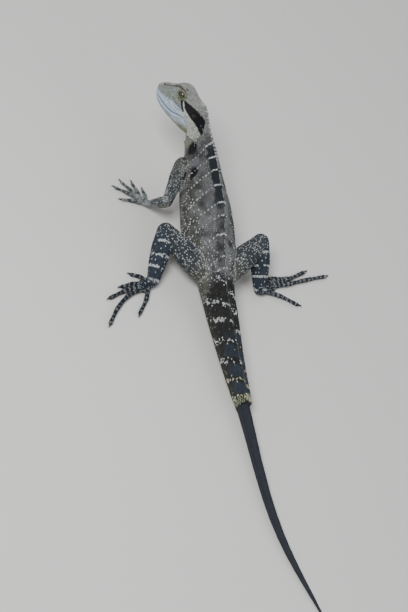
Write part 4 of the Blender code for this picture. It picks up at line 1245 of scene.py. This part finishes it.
def head_colours(points, share):
    """Colours of the head in its own frame, and how surely each scale keeps them on the neck."""
    x, y, z = head_local(points).T
    mouth = np.interp(-x, -np.array(HEAD_STATIONS), HEAD_LINES[MOUTH_LINE][2])
    fine, broad = cloud(points, 2.0, 61), cloud(points, 6.0, 62)
    strand = np.floor(y * 0.9)
    streak = chance(65, strand, np.floor(x / 5 + 3 * chance(66, strand)))
    base = head_base(x, z, mouth, share, broad)
    base = base * (1 + ease(0.15, 0.11, share) * (streak - 0.5) * 0.34)[:, None]
    base = head_lines(base * (0.82 + 0.34 * fine)[:, None], x, z, share)
    jowl = ease(-8.6, -7.8, x) * ease(15, 9, x) * ease(4, 2, z) * (share < 0.42)
    dull = draws(64, len(x)) < 0.05 + 0.26 * jowl + 0.12 * ease(10, -2, x)
    base = np.where(dull[:, None], base * 0.5, base)
    speck = (draws(63, len(x)) < 0.06) & (share < 0.4)
    ink = inside_band(x, z) * (share > 0.1 - 0.05 * ease(6, -2, x)) * (share < 0.36)
    gap, _ = gap_to_line(x, z, WHITE_LINE)
    base = washed(base, (LIP, speck * 0.35), (BLACK * (0.7 + 0.9 * fine)[:, None], ink),
                  (HEAD_WHITE, ease(0.75, 0.45, gap) * (share > 0.1) * (share < 0.36) * 0.9))
    return base, np.maximum(ink, on_jowl(x, z, share))


def limb_ground(roots):
    """Colours of a limb or digit before its white dots and bands."""
    region, points = roots.sleeve.region, roots.points
    ground = LEG_GROUNDS.get(region, ARM)
    if region not in LEG_GROUNDS:
        ground = washed(ground, (ARM_PALE, ease(0.48, 0.66, cloud(points, 4.0, 77)) * 0.7),
                        (SLATE, ease(0.4, 0.28, cloud(points, 4.0, 78)) * 0.45))
    if region in ROOT_BLENDS:
        first, last, bright = ROOT_BLENDS[region]
        of_trunk = ease(last, first, roots.along + 8 * (cloud(points, 3.5, 79) - 0.5))
        ground = mix(ground, (FLANK + OLIVE) / 2 * bright, of_trunk * 0.85)
    return ground * (0.7 + 0.6 * cloud(points, 2.4, 71))[:, None]


def limb_marks(roots):
    """The white scales: uneven dots, and bands across the shanks and digits."""
    region, along = roots.sleeve.region, roots.along
    pitch, seed, share, _ = LIMB_DOTS.get(region, ARM_DOTS)
    white = one_in_each(along, roots.turns * roots.girth, pitch, seed, share)
    if region == "shank":
        length = roots.sleeve.along[-1]
        gap = gap_to(along / length, SHANK_BANDS) * length
        white |= (gap < 1.1) & (cloud(roots.points, 2.4, 71) > 0.36)
    elif region in ("toe", "finger"):
        ragged = along + 2.6 * (cloud(roots.points, 2.0, 67) - 0.5)
        band = (np.abs((ragged / 5.2) % 1 - 0.5) < 0.13) & (np.abs(roots.turns - 0.5) > 0.22)
        white |= band & (draws(75, len(along)) < 0.8)
    return white


def limb_colours(roots):
    """Colours of the limbs and digits: slate or grey with white dots and bands."""
    ragged = 0.08 * (cloud(roots.points, 3.0, 69) - 0.5)
    below = ease(0.21, 0.11, np.abs(roots.turns - 0.5) + ragged)
    base = mix(limb_ground(roots), UNDER, below * 0.5)
    white = limb_marks(roots) & (below <= 0.5)
    _, _, _, bright = LIMB_DOTS.get(roots.sleeve.region, ARM_DOTS)
    strength = bright * (0.35 + 0.65 * draws(76, len(base)))
    return np.where(white[:, None], mix(base, SPOT, strength), base), white


def regrown_colours(roots):
    # painted highlight: the regrown tail lighter and darker in streaks along its length
    streak = chance(81, np.floor(roots.turns * 34))
    base = REGROWN * (0.55 + 0.6 * streak + 0.3 * cloud(roots.points, 3.0, 82))[:, None]
    under = np.abs(roots.turns - 0.5) < 0.17
    return np.where(under[:, None], mix(base, UNDER * 0.5, 0.6), base)


def clear_of_openings(roots, trunk):
    """Drops head scales from the eyes, lips, nostrils, ears and the line of the mouth."""
    good = np.ones(len(roots.points), bool)
    for side in (1, -1):
        beyond, reach = beyond_lids(roots.points, side)
        good &= (beyond > LID_ROWS[-1][0] + 0.45) | (reach > LID_REACH)
        for opening, radius in ((NOSTRIL_PLACE, 1.95), (EAR_PLACE, EAR_RADIUS * 0.95)):
            root, _, _ = spot_on(trunk, opening, side)
            good &= np.linalg.norm(roots.points - root, axis=1) > radius
    turns = np.minimum(roots.turns, 1 - roots.turns)
    good &= (turns < LIP_SPAN[0]) | (turns > LIP_SPAN[1]) | (roots.places > MOUTH_END - 0.05)
    good &= distance_to(roots.points, mouth_line(trunk)) > 0.75
    roots.keep(good)


def sizes_of(roots, height, seed):
    """Length, breadth and height of each scale, a little uneven."""
    first, second, third = (draws(seed + step, len(roots.points)) for step in range(3))
    return np.stack((roots.longs * (0.92 + 0.16 * first), roots.wides * (0.92 + 0.14 * second),
                     height * (0.8 + 0.4 * third)), -1)


def add_roots(coat, form, roots, chosen, sizes, colours, tips=None):
    coat.add(form, roots.points[chosen], roots.outward[chosen], roots.back[chosen],
             sizes[chosen], colours[chosen], roots.atlas_spots()[chosen],
             None if tips is None else tips[chosen])


# Rows of spines: first and last station, turn, number, height at the ends and in the middle,
# breadth, length and lean.
CREST_ROWS = (
    ((10.45, 11.8), 0.0, 6, (3.2, 4.2), 0.85, 1.5, 16),
    ((11.9, 13.3), 0.0, 8, (4.8, 5.6), 0.95, 1.6, 14),
    ((13.38, 14.5), 0.0, 8, (4.2, 3.6), 0.9, 1.6, 24),
    ((14.6, 15.3), 0.0, 9, (2.7, 2.5), 0.85, 1.7, 36),
    ((15.35, 19.0), 0.0, 48, (1.7, 1.5), 0.85, 2.0, 46),
    ((19.05, 22.9), 0.014, 50, (1.5, 1.9), 0.8, 2.1, 48),
    ((19.08, 22.93), -0.014, 50, (1.5, 1.9), 0.8, 2.1, 48),
)
# The smaller rows that stand on both sides of the nape and jowl.
SIDE_ROWS = (
    ((10.9, 11.7), 0.14, 3, (1.4, 1.7), 0.75, 1.2, 25),
    ((11.85, 13.1), 0.12, 6, (1.5, 1.8), 0.75, 1.2, 30),
    ((11.9, 12.5), 0.225, 5, (1.5, 1.9), 0.75, 1.2, 38),
)
FRINGE = (22.86, 26, 3.2)       # place, number and height of the spines at the tail's break
FRINGE_SHIFTS = (-0.1, -0.02, 0.06)


def keyed_spines(trunk):
    """Roots of the crest's spines, with each spine's height and how far it leans back."""
    rows = list(CREST_ROWS)
    for span, turn, *rest in SIDE_ROWS:
        rows += [(span, turn, *rest), (span, -turn, *rest)]
    spans, turns, counts, heights, wides, longs, leans = zip(*rows)
    shares = [np.linspace(0, 1, count) for count in counts]
    places = np.concatenate([first + (last - first) * share
                             for (first, last), share in zip(spans, shares)])
    tall = np.concatenate([ends + (middle - ends) * np.sin(np.pi * share)
                           for (ends, middle), share in zip(heights, shares)])
    roots = Roots(trunk, trunk.row_at(places), np.repeat(turns, counts), np.repeat(longs, counts),
                  np.repeat(wides, counts))
    roots.leans = np.repeat(leans, counts) + 12 * (draws(97, len(places)) - 0.5)
    roots.heights = tall * (0.85 + 0.3 * draws(91, len(places)))
    return roots


def leaning(roots, degrees):
    """Directions that lean back from the skin, and those at right angles to them."""
    angle = np.radians(degrees)[:, None]
    lean = unit(roots.outward * np.cos(angle) + roots.back * np.sin(angle))
    return lean, square_to(lean, roots.back)


def add_crest(coat, trunk, tree):
    """The crest from the nape to the tail's break, and the small rows beside it."""
    roots = keyed_spines(trunk)
    roots.number = np.arange(len(roots.points))
    roots.settle(tree)
    sizes = np.stack((roots.longs, roots.wides, roots.heights), -1)
    x = roots.ridge
    pale = CREST_PALE * (0.62 + 0.75 * ease(88, 108, x) * (roots.heights > 2.4))[:, None]
    banded = ease(2.2, 0.8, gap_to(x, TAIL_BANDS_LEFT)) * chance(92, roots.number)
    colours = mix(mix(TAIL_DARK, SPOT, 0.12 + 0.7 * banded), pale, ease(-22, -6, x))
    dark = (chance(93, roots.number) < 0.35) & (x < 90)
    colours = np.where(dark[:, None], SLATE, colours)
    lean, back = leaning(roots, roots.leans)
    coat.add(SPINE_FORM, roots.points, lean, back, sizes, colours, roots.atlas_spots())


def add_fringe(coat, trunk, tree):
    """Three rings of pale spines that point back over the start of the regrown tail."""
    place, number, tall = FRINGE
    for step, shift in enumerate(FRINGE_SHIFTS):
        turns = np.arange(number) / number + 0.013 * step + 0.02 * draws(98 + step, number)
        ring = Roots(trunk, np.full(number, trunk.row_at(place + shift)), turns,
                     np.full(number, 1.1), np.full(number, 1.15))
        ring.settle(tree)
        ring.keep(np.abs(ring.turns - 0.5) > 0.12)
        count = len(ring.points)
        tall_ones = tall * (0.6 + 0.6 * draws(94 + step, count))
        size = np.stack((ring.longs, ring.wides, tall_ones), -1)
        lean, back = leaning(ring, 72 + 12 * draws(99, count))
        hue = mix(SPOT, FRINGE_PALE, 0.7) * (0.5 + 0.5 * draws(95 + step, count))[:, None]
        coat.add(SPINE_FORM, ring.points, lean, back, size, hue, ring.atlas_spots())


def add_lips(coat, trunk, tree):
    """The larger plates in rows along both lips."""
    rows = trunk.row_at(np.linspace(0.12, MOUTH_END - 0.1, 200))
    for side in (1, -1):
        for row, (turn, number, tall, pale) in enumerate(LIP_ROWS):
            arcs = running(trunk.at(rows, np.full(len(rows), turn * side)))
            marks = np.interp((np.arange(number) + 0.5) / number * arcs[-1], arcs, rows)
            narrow = 1 - 0.25 * np.linspace(0, 1, number) ** 2
            roots = Roots(trunk, marks, np.full(number, turn * side),
                          np.full(number, arcs[-1] / number), tall * narrow)
            roots.settle(tree)
            count = len(roots.points)
            uneven = 0.98 + 0.12 * draws(99 + row, count)
            sizes = np.stack((roots.longs * uneven, roots.wides, np.full(count, 0.3)), -1)
            x, _, z = head_local(roots.points).T
            gap, _ = gap_to_line(x, z, LORE_LINE)
            hues = washed(LIP * (pale * (0.84 + 0.24 * draws(96 + row, count)))[:, None],
                          (CHEEK, ease(20, 10, x)), (LORE_DARK, ease(0.8, 0.4, gap) * 0.7))
            coat.add(PLATE, roots.points, roots.outward, roots.back, sizes, hues,
                     roots.atlas_spots())


def cast(tree, starts, ways):
    """Points and normals where lines from outside meet the skin, and which of them do."""
    ways = np.broadcast_to(ways, starts.shape)
    hits = [tree.ray_cast(Vector(start * MM), Vector(way)) for start, way in zip(starts, ways)]
    met = np.array([hit[0] is not None for hit in hits])
    points = np.array([hit[0] if hit[0] is not None else (0, 0, 0) for hit in hits]) / MM
    return points, np.array([hit[1] if hit[1] is not None else (0, 0, 1) for hit in hits]), met


def atlas_near(trunk, points):
    """Places on the unwrapped trunk for scales of the face, by where they lie round it."""
    x = head_local(points)[:, 0]
    rows = trunk.row_at(np.arange(len(HEAD_STATIONS)))
    alongs = np.interp(rows, np.arange(len(trunk.along)), trunk.along)
    along = np.interp(-x, -np.array(HEAD_STATIONS), alongs)
    left, low, scale = trunk.atlas
    most = trunk.arcs[:, -1].max()
    return np.stack((left + trunk_turns(points) * most * scale, low + along * scale), -1)


def lid_ways(eye, swing, beyond):
    """Directions from the eye's middle to places beyond the lids' rim, and their spokes."""
    _, axis, level, upright = eye
    polar = ((lid_rim(swing) + beyond) / EYE_RADIUS)[:, None]
    spoke = level * np.cos(swing)[:, None] + upright * np.sin(swing)[:, None]
    return axis * np.cos(polar) + spoke * np.sin(polar), spoke


def add_lids(coat, trunk, tree):
    """Rings of granules round each eye, over the folds of the lids."""
    for side in (1, -1):
        eye = eye_axes(side)
        for row, (beyond, size, pale) in enumerate(LID_ROWS):
            fine = np.linspace(0, 2 * np.pi, 400)
            arcs = running(lid_ways(eye, fine, beyond)[0])
            number = round(arcs[-1] * (EYE_RADIUS + 0.6) / (size * 0.86))
            swing = np.interp((np.arange(number) + 0.5 * (row % 2)) / number * arcs[-1], arcs, fine)
            ways, spoke = lid_ways(eye, swing, beyond)
            points, outward, met = cast(tree, eye[0] + ways * 14, -ways)
            met &= np.linalg.norm(points - eye[0], axis=1) < LID_REACH
            points, outward = points[met], unit(outward[met])
            count = len(points)
            sizes = np.full((count, 3), size) * (0.95 + 0.2 * draws(310 + row, count))[:, None]
            sizes[:, 2] *= 0.34
            hues = LID * (pale * (0.78 + 0.35 * draws(320 + row, count)))[:, None]
            coat.add(BEAD, points, outward, square_to(outward, spoke[met]), sizes,
                     mix(hues, HEAD_GREY, 0.11 * row), atlas_near(trunk, points))


def add_nostril_rims(coat, trunk, tree):
    """A ring of granules round each nostril."""
    angles = 2 * np.pi * np.arange(9)[:, None] / 9
    for side in (1, -1):
        root, outward, back = spot_on(trunk, NOSTRIL_PLACE, side)
        ring = np.cos(angles) * back + np.sin(angles) * np.cross(outward, back)
        points, normals, met = cast(tree, root + ring * 1.42 + outward * 5, -outward)
        points, normals, ring = points[met], normals[met], ring[met]
        sizes = np.tile((0.95, 1.0, 0.34), (len(points), 1))
        hues = SNOUT * (0.8 + 0.2 * draws(330, len(points)))[:, None]
        coat.add(BEAD, points, normals, square_to(normals, ring), sizes, hues,
                 atlas_near(trunk, points))


FRONT_PITCH = 0.98              # between the granules on the flat front of the snout
FRONT_AHEAD = 62                # how far in front of the head's middle the lines to it start
# The middle plates of both lips: across, above the mouth, length and breadth.
FRONT_PLATES = ((0, 1.45, 3.0, 1.7), (0, -1.4, 2.6, 1.6), (2.35, 1.35, 1.7, 1.6), (-2.35, 1.35, 1.7, 1.6),
                (2.1, -1.3, 1.6, 1.5), (-2.1, -1.3, 1.6, 1.5))


def on_front(tree, across, high):
    """Points and normals on the front of the snout, and which places have them."""
    forward, left, up = HEAD_AXES
    starts = HEAD_AT + forward * FRONT_AHEAD + np.outer(across, left) + np.outer(high, up)
    return cast(tree, starts, -forward)


def add_front_plates(coat, trunk, tree):
    """The middle plates of both lips, and where they lie."""
    plates = np.array(FRONT_PLATES)
    mouth = HEAD_LINES[MOUTH_LINE][2][0]
    points, normals, met = on_front(tree, plates[:, 0], mouth + plates[:, 1])
    normals = unit(normals)
    sizes = np.column_stack((plates[:, 2:], np.full(len(plates), 0.34)))
    hues = LIP * (0.9 + 0.15 * draws(340, len(plates)))[:, None]
    coat.add(PLATE, points[met], normals[met], square_to(normals, HEAD_AXES[1])[met], sizes[met],
             hues[met], atlas_near(trunk, points[met]))
    return points


def add_snout_front(coat, trunk, tree, taken):
    """The front plates, and granules on the rest of the front of the snout."""
    plates = add_front_plates(coat, trunk, tree)
    forward, _, up = HEAD_AXES
    row, column = np.meshgrid(np.arange(-9, 14), np.arange(-9, 10), indexing="ij")
    across = (column + 0.5 * (row % 2)).ravel() * FRONT_PITCH
    grains, normals, met = on_front(tree, across, row.ravel() * FRONT_PITCH * 0.87 + LEAN_LEVEL)
    met &= (normals @ forward > 0.35) & (head_local(grains)[:, 0] > 44)
    grains, normals = grains[met], unit(normals[met])
    clear = distance_to(grains, taken) > 0.8
    clear &= distance_to(grains, mouth_line(trunk)) > 0.85
    clear &= distance_to(grains, plates) > 1.25
    grains, normals = grains[clear], normals[clear]
    count = len(grains)
    sizes = np.tile((1.05, 1.02, 0.28), (count, 1)) * (0.9 + 0.2 * draws(341, count))[:, None]
    turns = trunk_turns(grains)
    hues, _ = head_colours(grains, np.minimum(turns, 1 - turns))
    coat.add(BEAD, grains, normals, square_to(normals, -up), sizes, hues, atlas_near(trunk, grains))


def grow_trunk(coats, trunk, roots):
    """Scales of the head, neck, trunk and tail, and their colours."""
    clear_of_openings(roots, trunk)
    _, away = crest_distance(roots)
    share = away / roots.girth
    on_head, tail = roots.places < HEAD_END, roots.places > TRUNK_END
    shown, tips, white, flecked = trunk_colours(roots)
    head_hues, firm = head_colours(roots.points, share)
    dark = on_patches(roots, share, DARK_PATCHES_AND_ARMPIT_SHADE)
    blend = np.where(firm > 0.5, 0, np.maximum(ease(11.3, 13.0, roots.places), dark))
    shown = mix(head_hues, shown, blend)
    # the head's colour made lighter on the tips, as a painted highlight
    tips = mix(head_hues * 1.1, tips, blend)
    white &= roots.places > 12.4
    tall = np.where(tail, 0.42, 0.3) * np.where(share > 0.36, 0.5, 1)
    sizes = sizes_of(roots, tall, 201) * np.where(white, 1.22, 1.0)[:, None]
    sizes[:, 2] *= np.where(white, 1.5, np.where(flecked, 1.3, 1.0))
    add_roots(coats["head"], BEAD, roots, on_head, sizes_of(roots, 0.26, 211), shown)
    add_roots(coats["trunk"], KEELED, roots, ~on_head & ~tail, sizes, shown, tips)
    add_roots(coats["tail"], KEELED, roots, tail, sizes, shown, tips)
    return shown


# The pieces of the coat and the slot of each.
COATS = {
    "head": ("scales_head", "head_skin"), "trunk": ("scales_trunk", "body_skin"),
    "tail": ("scales_tail", "body_skin"), "regrown": ("scales_regrown", "regrown_skin"),
    "legs": ("scales_legs", "limb_skin"), "arms": ("scales_arms", "limb_skin"),
    "crest": ("crest", "body_skin"),
}


def grow_limb(coats, roots):
    """Scales of a limb's length or of a digit, and their colours."""
    hues, white = limb_colours(roots)
    tall = np.where(np.abs(roots.turns - 0.5) < 0.16, 0.16, 0.3)
    sizes = sizes_of(roots, tall, 231) * np.where(white, 1.2, 1.0)[:, None]
    group = "legs" if roots.sleeve.region in LEG_GROUNDS else "arms"
    # the tips take a painted highlight: the scale's own colour made lighter
    add_roots(coats[group], KEELED, roots, slice(None), sizes, hues, hues * 1.2)
    return hues


def grow_scales(sleeves, tree, material):
    """All the scales, and the root points and colours that the skin takes its paint from."""
    trunk = sleeves[0]
    coats = {key: Coat(name, slot, material) for key, (name, slot) in COATS.items()}
    points, colours = [], []
    for number, sleeve in enumerate(sleeves):
        roots = Roots(sleeve, *lay_scales(sleeve, 100 + number))
        roots.settle(tree)
        if sleeve is trunk:
            hues = grow_trunk(coats, trunk, roots)
            add_snout_front(coats["head"], trunk, tree, roots.points[roots.places < 4])
        elif sleeve.region == "regrown":
            hues = regrown_colours(roots)
            add_roots(coats["regrown"], KEELED, roots, slice(None), sizes_of(roots, 0.16, 221), hues)
        else:
            hues = grow_limb(coats, roots)
        points.append(roots.points)
        colours.append(hues)
    for add, key in ((add_lips, "head"), (add_lids, "head"), (add_nostril_rims, "head"),
                     (add_crest, "crest"), (add_fringe, "crest")):
        add(coats[key], trunk, tree)
    for coat in coats.values():
        coat.build()
    return np.concatenate(points), np.concatenate(colours)


def paint_head(near, shown, trunk):
    """Paints the head's skin round the lips, eyes, nostrils, ears and mouth: painted shade between the
    lips' plates and the lids' granules, in the eyes' openings and nostrils, and along the mouth's groove,
    with a dark rim on the lids and dark skin in the ears.
    """
    turns = np.minimum(trunk_turns(near), 1 - trunk_turns(near))
    # painted shade: the skin between the lips' plates is darker than the plates
    shown[(turns > 0.27) & (turns < 0.4) & (head_local(near)[:, 0] > 14)] = LIP * 0.62
    for side in (1, -1):
        beyond, reach = beyond_lids(near, side)
        # painted shade under the lids' granules and inside the opening, with a dark rim at the lids' edge
        for edge, hue in ((LID_ROWS[-1][0] + 0.4, LID * 0.38), (0.2, LID_EDGE), (0.02, HOLE_SHADE)):
            shown[(beyond < edge) & (reach < LID_REACH)] = hue
        root, outward, _ = spot_on(trunk, NOSTRIL_PLACE, side)
        away = np.linalg.norm(near - root, axis=1)
        # painted shade inside each nostril
        shown[(away < 1.9) & ((near - root) @ outward < -0.3)] = HOLE_SHADE
        root, _, _ = spot_on(trunk, EAR_PLACE, side)
        shown[np.linalg.norm(near - root, axis=1) < EAR_RADIUS * 0.98] = EAR_SKIN
    away = distance_to(near, mouth_line(trunk))
    # painted shade along the groove of the mouth
    return mix(shown, MOUTH_GROOVE_SHADE, ease(0.6, 0.3, away))


def paint_skin(skin, trunk, points, colours):
    """The skin between the scales: each vertex takes the nearest scale's colour, darker as painted shade
    between the scales.
    """
    tree = kdtree.KDTree(len(points))
    for number, point in enumerate(points.tolist()):
        tree.insert(point, number)
    tree.balance()
    own = vertices_of(skin.data)
    nearest = np.array([tree.find(point)[1] for point in own.tolist()])
    # painted shade: the skin in the gaps between the scales is darkened
    hues = colours[nearest] * 0.6
    head = np.flatnonzero(head_local(own)[:, 0] > -12)
    hues[head] = paint_head(own[head], hues[head], trunk)
    paint(skin.data, hues)


def painted_material(name):
    """A new material, its node tree, its shader and the colours stored on the piece."""
    material = bpy.data.materials.new(name)
    material.use_nodes = True
    tree = material.node_tree
    shader = tree.nodes["Principled BSDF"]
    hue = tree.nodes.new("ShaderNodeAttribute")
    hue.attribute_name = "Col"
    return material, tree, shader, hue.outputs["Color"]


def drawn_out(tree, source, low, high):
    """A value spread out to lie between low and high."""
    node = tree.nodes.new("ShaderNodeMapRange")
    node.inputs["To Min"].default_value = low
    node.inputs["To Max"].default_value = high
    tree.links.new(source, node.inputs["Value"])
    return node.outputs["Result"]


def skin_material(name, low, high, bump_strength):
    """Scales and skin: painted colour with fine mottling, grain and uneven gloss."""
    material, tree, shader, hue = painted_material(name)
    place = tree.nodes.new("ShaderNodeTexCoord")
    grain = tree.nodes.new("ShaderNodeTexNoise")
    grain.inputs["Scale"].default_value = 900
    grain.inputs["Detail"].default_value = 3
    tree.links.new(place.outputs["Object"], grain.inputs["Vector"])
    shade = drawn_out(tree, grain.outputs["Fac"], 0.82, 1.18)
    mottled = tree.nodes.new("ShaderNodeVectorMath")
    mottled.operation = "SCALE"
    tree.links.new(hue, mottled.inputs[0])
    tree.links.new(shade, mottled.inputs["Scale"])
    tree.links.new(mottled.outputs["Vector"], shader.inputs["Base Color"])
    rough = drawn_out(tree, grain.outputs["Fac"], low, high)
    tree.links.new(rough, shader.inputs["Roughness"])
    shader.inputs["Specular IOR Level"].default_value = 0.28
    relief = tree.nodes.new("ShaderNodeBump")
    relief.inputs["Strength"].default_value = bump_strength
    relief.inputs["Distance"].default_value = 0.0001
    tree.links.new(grain.outputs["Fac"], relief.inputs["Height"])
    tree.links.new(relief.outputs["Normal"], shader.inputs["Normal"])
    return material


def gloss_material(name, roughness, coat):
    material, tree, shader, hue = painted_material(name)
    tree.links.new(hue, shader.inputs["Base Color"])
    shader.inputs["Roughness"].default_value = roughness
    shader.inputs["Coat Weight"].default_value = coat
    shader.inputs["Coat Roughness"].default_value = 0.03
    return material


EYE_RINGS, EYE_COLUMNS = 72, 96
CLAW_RINGS = 22


def make_eye(side, name, material):
    """An eyeball with its iris and pupil painted round the axis it looks along."""
    centre, axis, level, upright = eye_axes(side)
    polar = np.linspace(0, np.pi, EYE_RINGS)[:, None]
    swing = 2 * np.pi * np.arange(EYE_COLUMNS)[None] / EYE_COLUMNS
    radius = EYE_RADIUS * (1 + 0.035 * bump(polar, 0, 0.55))
    grid = (centre + axis * (np.cos(polar) * radius)[..., None]
            + level * (np.sin(polar) * np.cos(swing) * radius)[..., None]
            + upright * (np.sin(polar) * np.sin(swing) * radius)[..., None])
    points, faces = Sleeve(name, "eye", grid).triangles(0)
    ways = points - centre
    away = np.arccos(np.clip(unit(ways) @ axis, -1, 1)) * EYE_RADIUS
    spokes = np.arctan2(ways @ upright, ways @ level)
    flecks = cloud(np.column_stack((spokes * 9, away * 2.2, np.zeros(len(away)))), 1.0, 301)
    # painted highlight: a pale ring just outside the pupil
    iris = washed(IRIS, (IRIS_FLECK, flecks), (IRIS_HIGHLIGHT, bump(away, 1.72, 0.12) * 0.5),
                  (IRIS_EDGE, ease(2.0, 2.8, away)))
    eye = mesh_object(name, points, faces, mix(PUPIL, iris, ease(1.5, 1.62, away)))
    dress(eye, material)
    return eye


def claw_sleeve(joints, radius):
    """A hooked claw that goes on from a digit's last joint."""
    joints = np.array(joints, float)
    way = unit((joints[-1] - joints[-2]) * (1, 1, 0))
    line = np.array([joints[-1] + way * (radius + ahead) * 0.8 + np.array((0, 0, above))
                     for ahead, above, _ in CLAW])
    steps = np.linspace(0, len(CLAW) - 1, CLAW_RINGS)
    gaps = np.linalg.norm(np.diff(line, axis=0), axis=1)
    centres = smooth(line[:, None], gaps, steps)[:, 0]
    thick = np.interp(steps, np.arange(len(CLAW)), [radius * row[2] for row in CLAW])
    return swept("claw", "claw", centres, np.stack((thick * 0.85, thick), -1), CLAW_ROUND)


def make_claws(material):
    """A claw at the end of every toe and finger."""
    sleeves = [claw_sleeve(joints, radii[1])
               for limbs, radii in ((LEGS, TOE_RADII), (ARMS, FINGER_RADII))
               for _, digits in limbs.values() for joints in digits]
    points, faces = joined(sleeves)
    share = np.concatenate((np.repeat(np.linspace(0, 1, CLAW_RINGS), CLAW_ROUND), (0, 1)))
    points[:, 2] = np.maximum(points[:, 2], 0)
    hues = np.tile(mix(CLAW_ROOT, CLAW_TIP, share), (len(sleeves), 1))
    dress(mesh_object("claws", points, faces, hues), material)


# The lamps: place in metres, size and power.
LAMPS = {"key": ((-0.25, 0.75, 1.15), 0.5, 16), "fill": ((0.9, -0.5, 0.9), 1.0, 3.5),
         "rim": ((-0.9, -0.7, 0.7), 0.8, 3)}
LIT_POINT = (0, 0, 0.03)


def make_stage():
    """A pale floor with soft studio light."""
    bpy.ops.mesh.primitive_plane_add(size=8, location=(0, 0, -0.0002))
    floor = bpy.context.object
    floor.name = "floor"
    material = bpy.data.materials.new("floor")
    material.use_nodes = True
    shader = material.node_tree.nodes["Principled BSDF"]
    shader.inputs["Base Color"].default_value = (0.72, 0.71, 0.69, 1)
    shader.inputs["Roughness"].default_value = 0.85
    floor.data.materials.append(material)
    world = bpy.data.worlds.new("studio")
    world.use_nodes = True
    sky = world.node_tree.nodes["Background"]
    sky.inputs["Color"].default_value = (0.93, 0.96, 1.0, 1)
    sky.inputs["Strength"].default_value = 0.38
    bpy.context.scene.world = world
    for name, (spot, size, power) in LAMPS.items():
        lamp = bpy.data.lights.new(name, "AREA")
        lamp.size = size
        lamp.energy = power
        light = bpy.data.objects.new(name, lamp)
        light.location = spot
        aim = Vector(LIT_POINT) - Vector(spot)
        light.rotation_euler = aim.to_track_quat("-Z", "Y").to_euler()
        bpy.context.scene.collection.objects.link(light)


# The camera: how high it looks from, the side it stands on, its roll, its scale in pixels
# a millimetre at the model, where the model's origin falls in the picture, and its distance.
CAMERA_CLIMB, CAMERA_SIDE, CAMERA_ROLL = 48, 42, 13.4
CAMERA_SCALE = 1.055
ORIGIN_PIXEL = (206.4, 285.8)
PICTURE = (408, 612)
CAMERA_AWAY = 1800
SENSOR = 36


def make_camera():
    climb, side, roll = (math.radians(angle) for angle in (CAMERA_CLIMB, CAMERA_SIDE, CAMERA_ROLL))
    back = Vector((-math.cos(climb) * math.cos(side), math.cos(climb) * math.sin(side),
                   math.sin(climb)))
    ahead = Vector((1, 0, 0))
    ahead = (ahead - back * ahead.dot(back)).normalized()
    across = ahead.cross(back)
    up = ahead * math.cos(roll) + across * math.sin(roll)
    right = up.cross(back)
    aim = (right * (PICTURE[0] / 2 - ORIGIN_PIXEL[0]) - up * (PICTURE[1] / 2 - ORIGIN_PIXEL[1]))
    spot = (aim / CAMERA_SCALE + back * CAMERA_AWAY) * MM
    camera = bpy.data.objects.new("camera", bpy.data.cameras.new("camera"))
    bpy.context.scene.collection.objects.link(camera)
    turn = Matrix((right, up, back)).transposed().to_4x4()
    turn.translation = spot
    camera.matrix_world = turn
    camera.data.sensor_width = SENSOR
    camera.data.lens = CAMERA_SCALE * CAMERA_AWAY / PICTURE[1] * SENSOR
    camera.data.clip_end = 50
    bpy.context.scene.camera = camera


def main():
    sleeves = all_sleeves()
    place_atlas(sleeves)
    mesh = joined_skin(sleeves)
    fold_skin(mesh, sleeves[0])
    finer_head(mesh)
    shape_head(mesh, sleeves[0])
    skin = bpy.data.objects.new("skin", mesh)
    bpy.context.scene.collection.objects.link(skin)
    mesh.polygons.foreach_set("use_smooth", np.full(len(mesh.polygons), True))
    bpy.context.view_layer.update()
    tree = BVHTree.FromObject(skin, bpy.context.evaluated_depsgraph_get())
    scaly = skin_material("scales", 0.5, 0.78, 0.25)
    points, colours = grow_scales(sleeves, tree, scaly)
    paint_skin(skin, sleeves[0], points, colours)
    dress(skin, skin_material("skin", 0.55, 0.85, 0.4))
    flesh = [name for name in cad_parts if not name.startswith("eye")]
    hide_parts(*flesh)
    wet = gloss_material("eye", 0.12, 1.0)
    for side, name in ((1, "left"), (-1, "right")):
        eye = make_eye(side, "eyeball_" + name, wet)
        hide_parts("eye_" + name)
    make_claws(gloss_material("claw", 0.35, 0.0))
    make_stage()
    make_camera()


main()
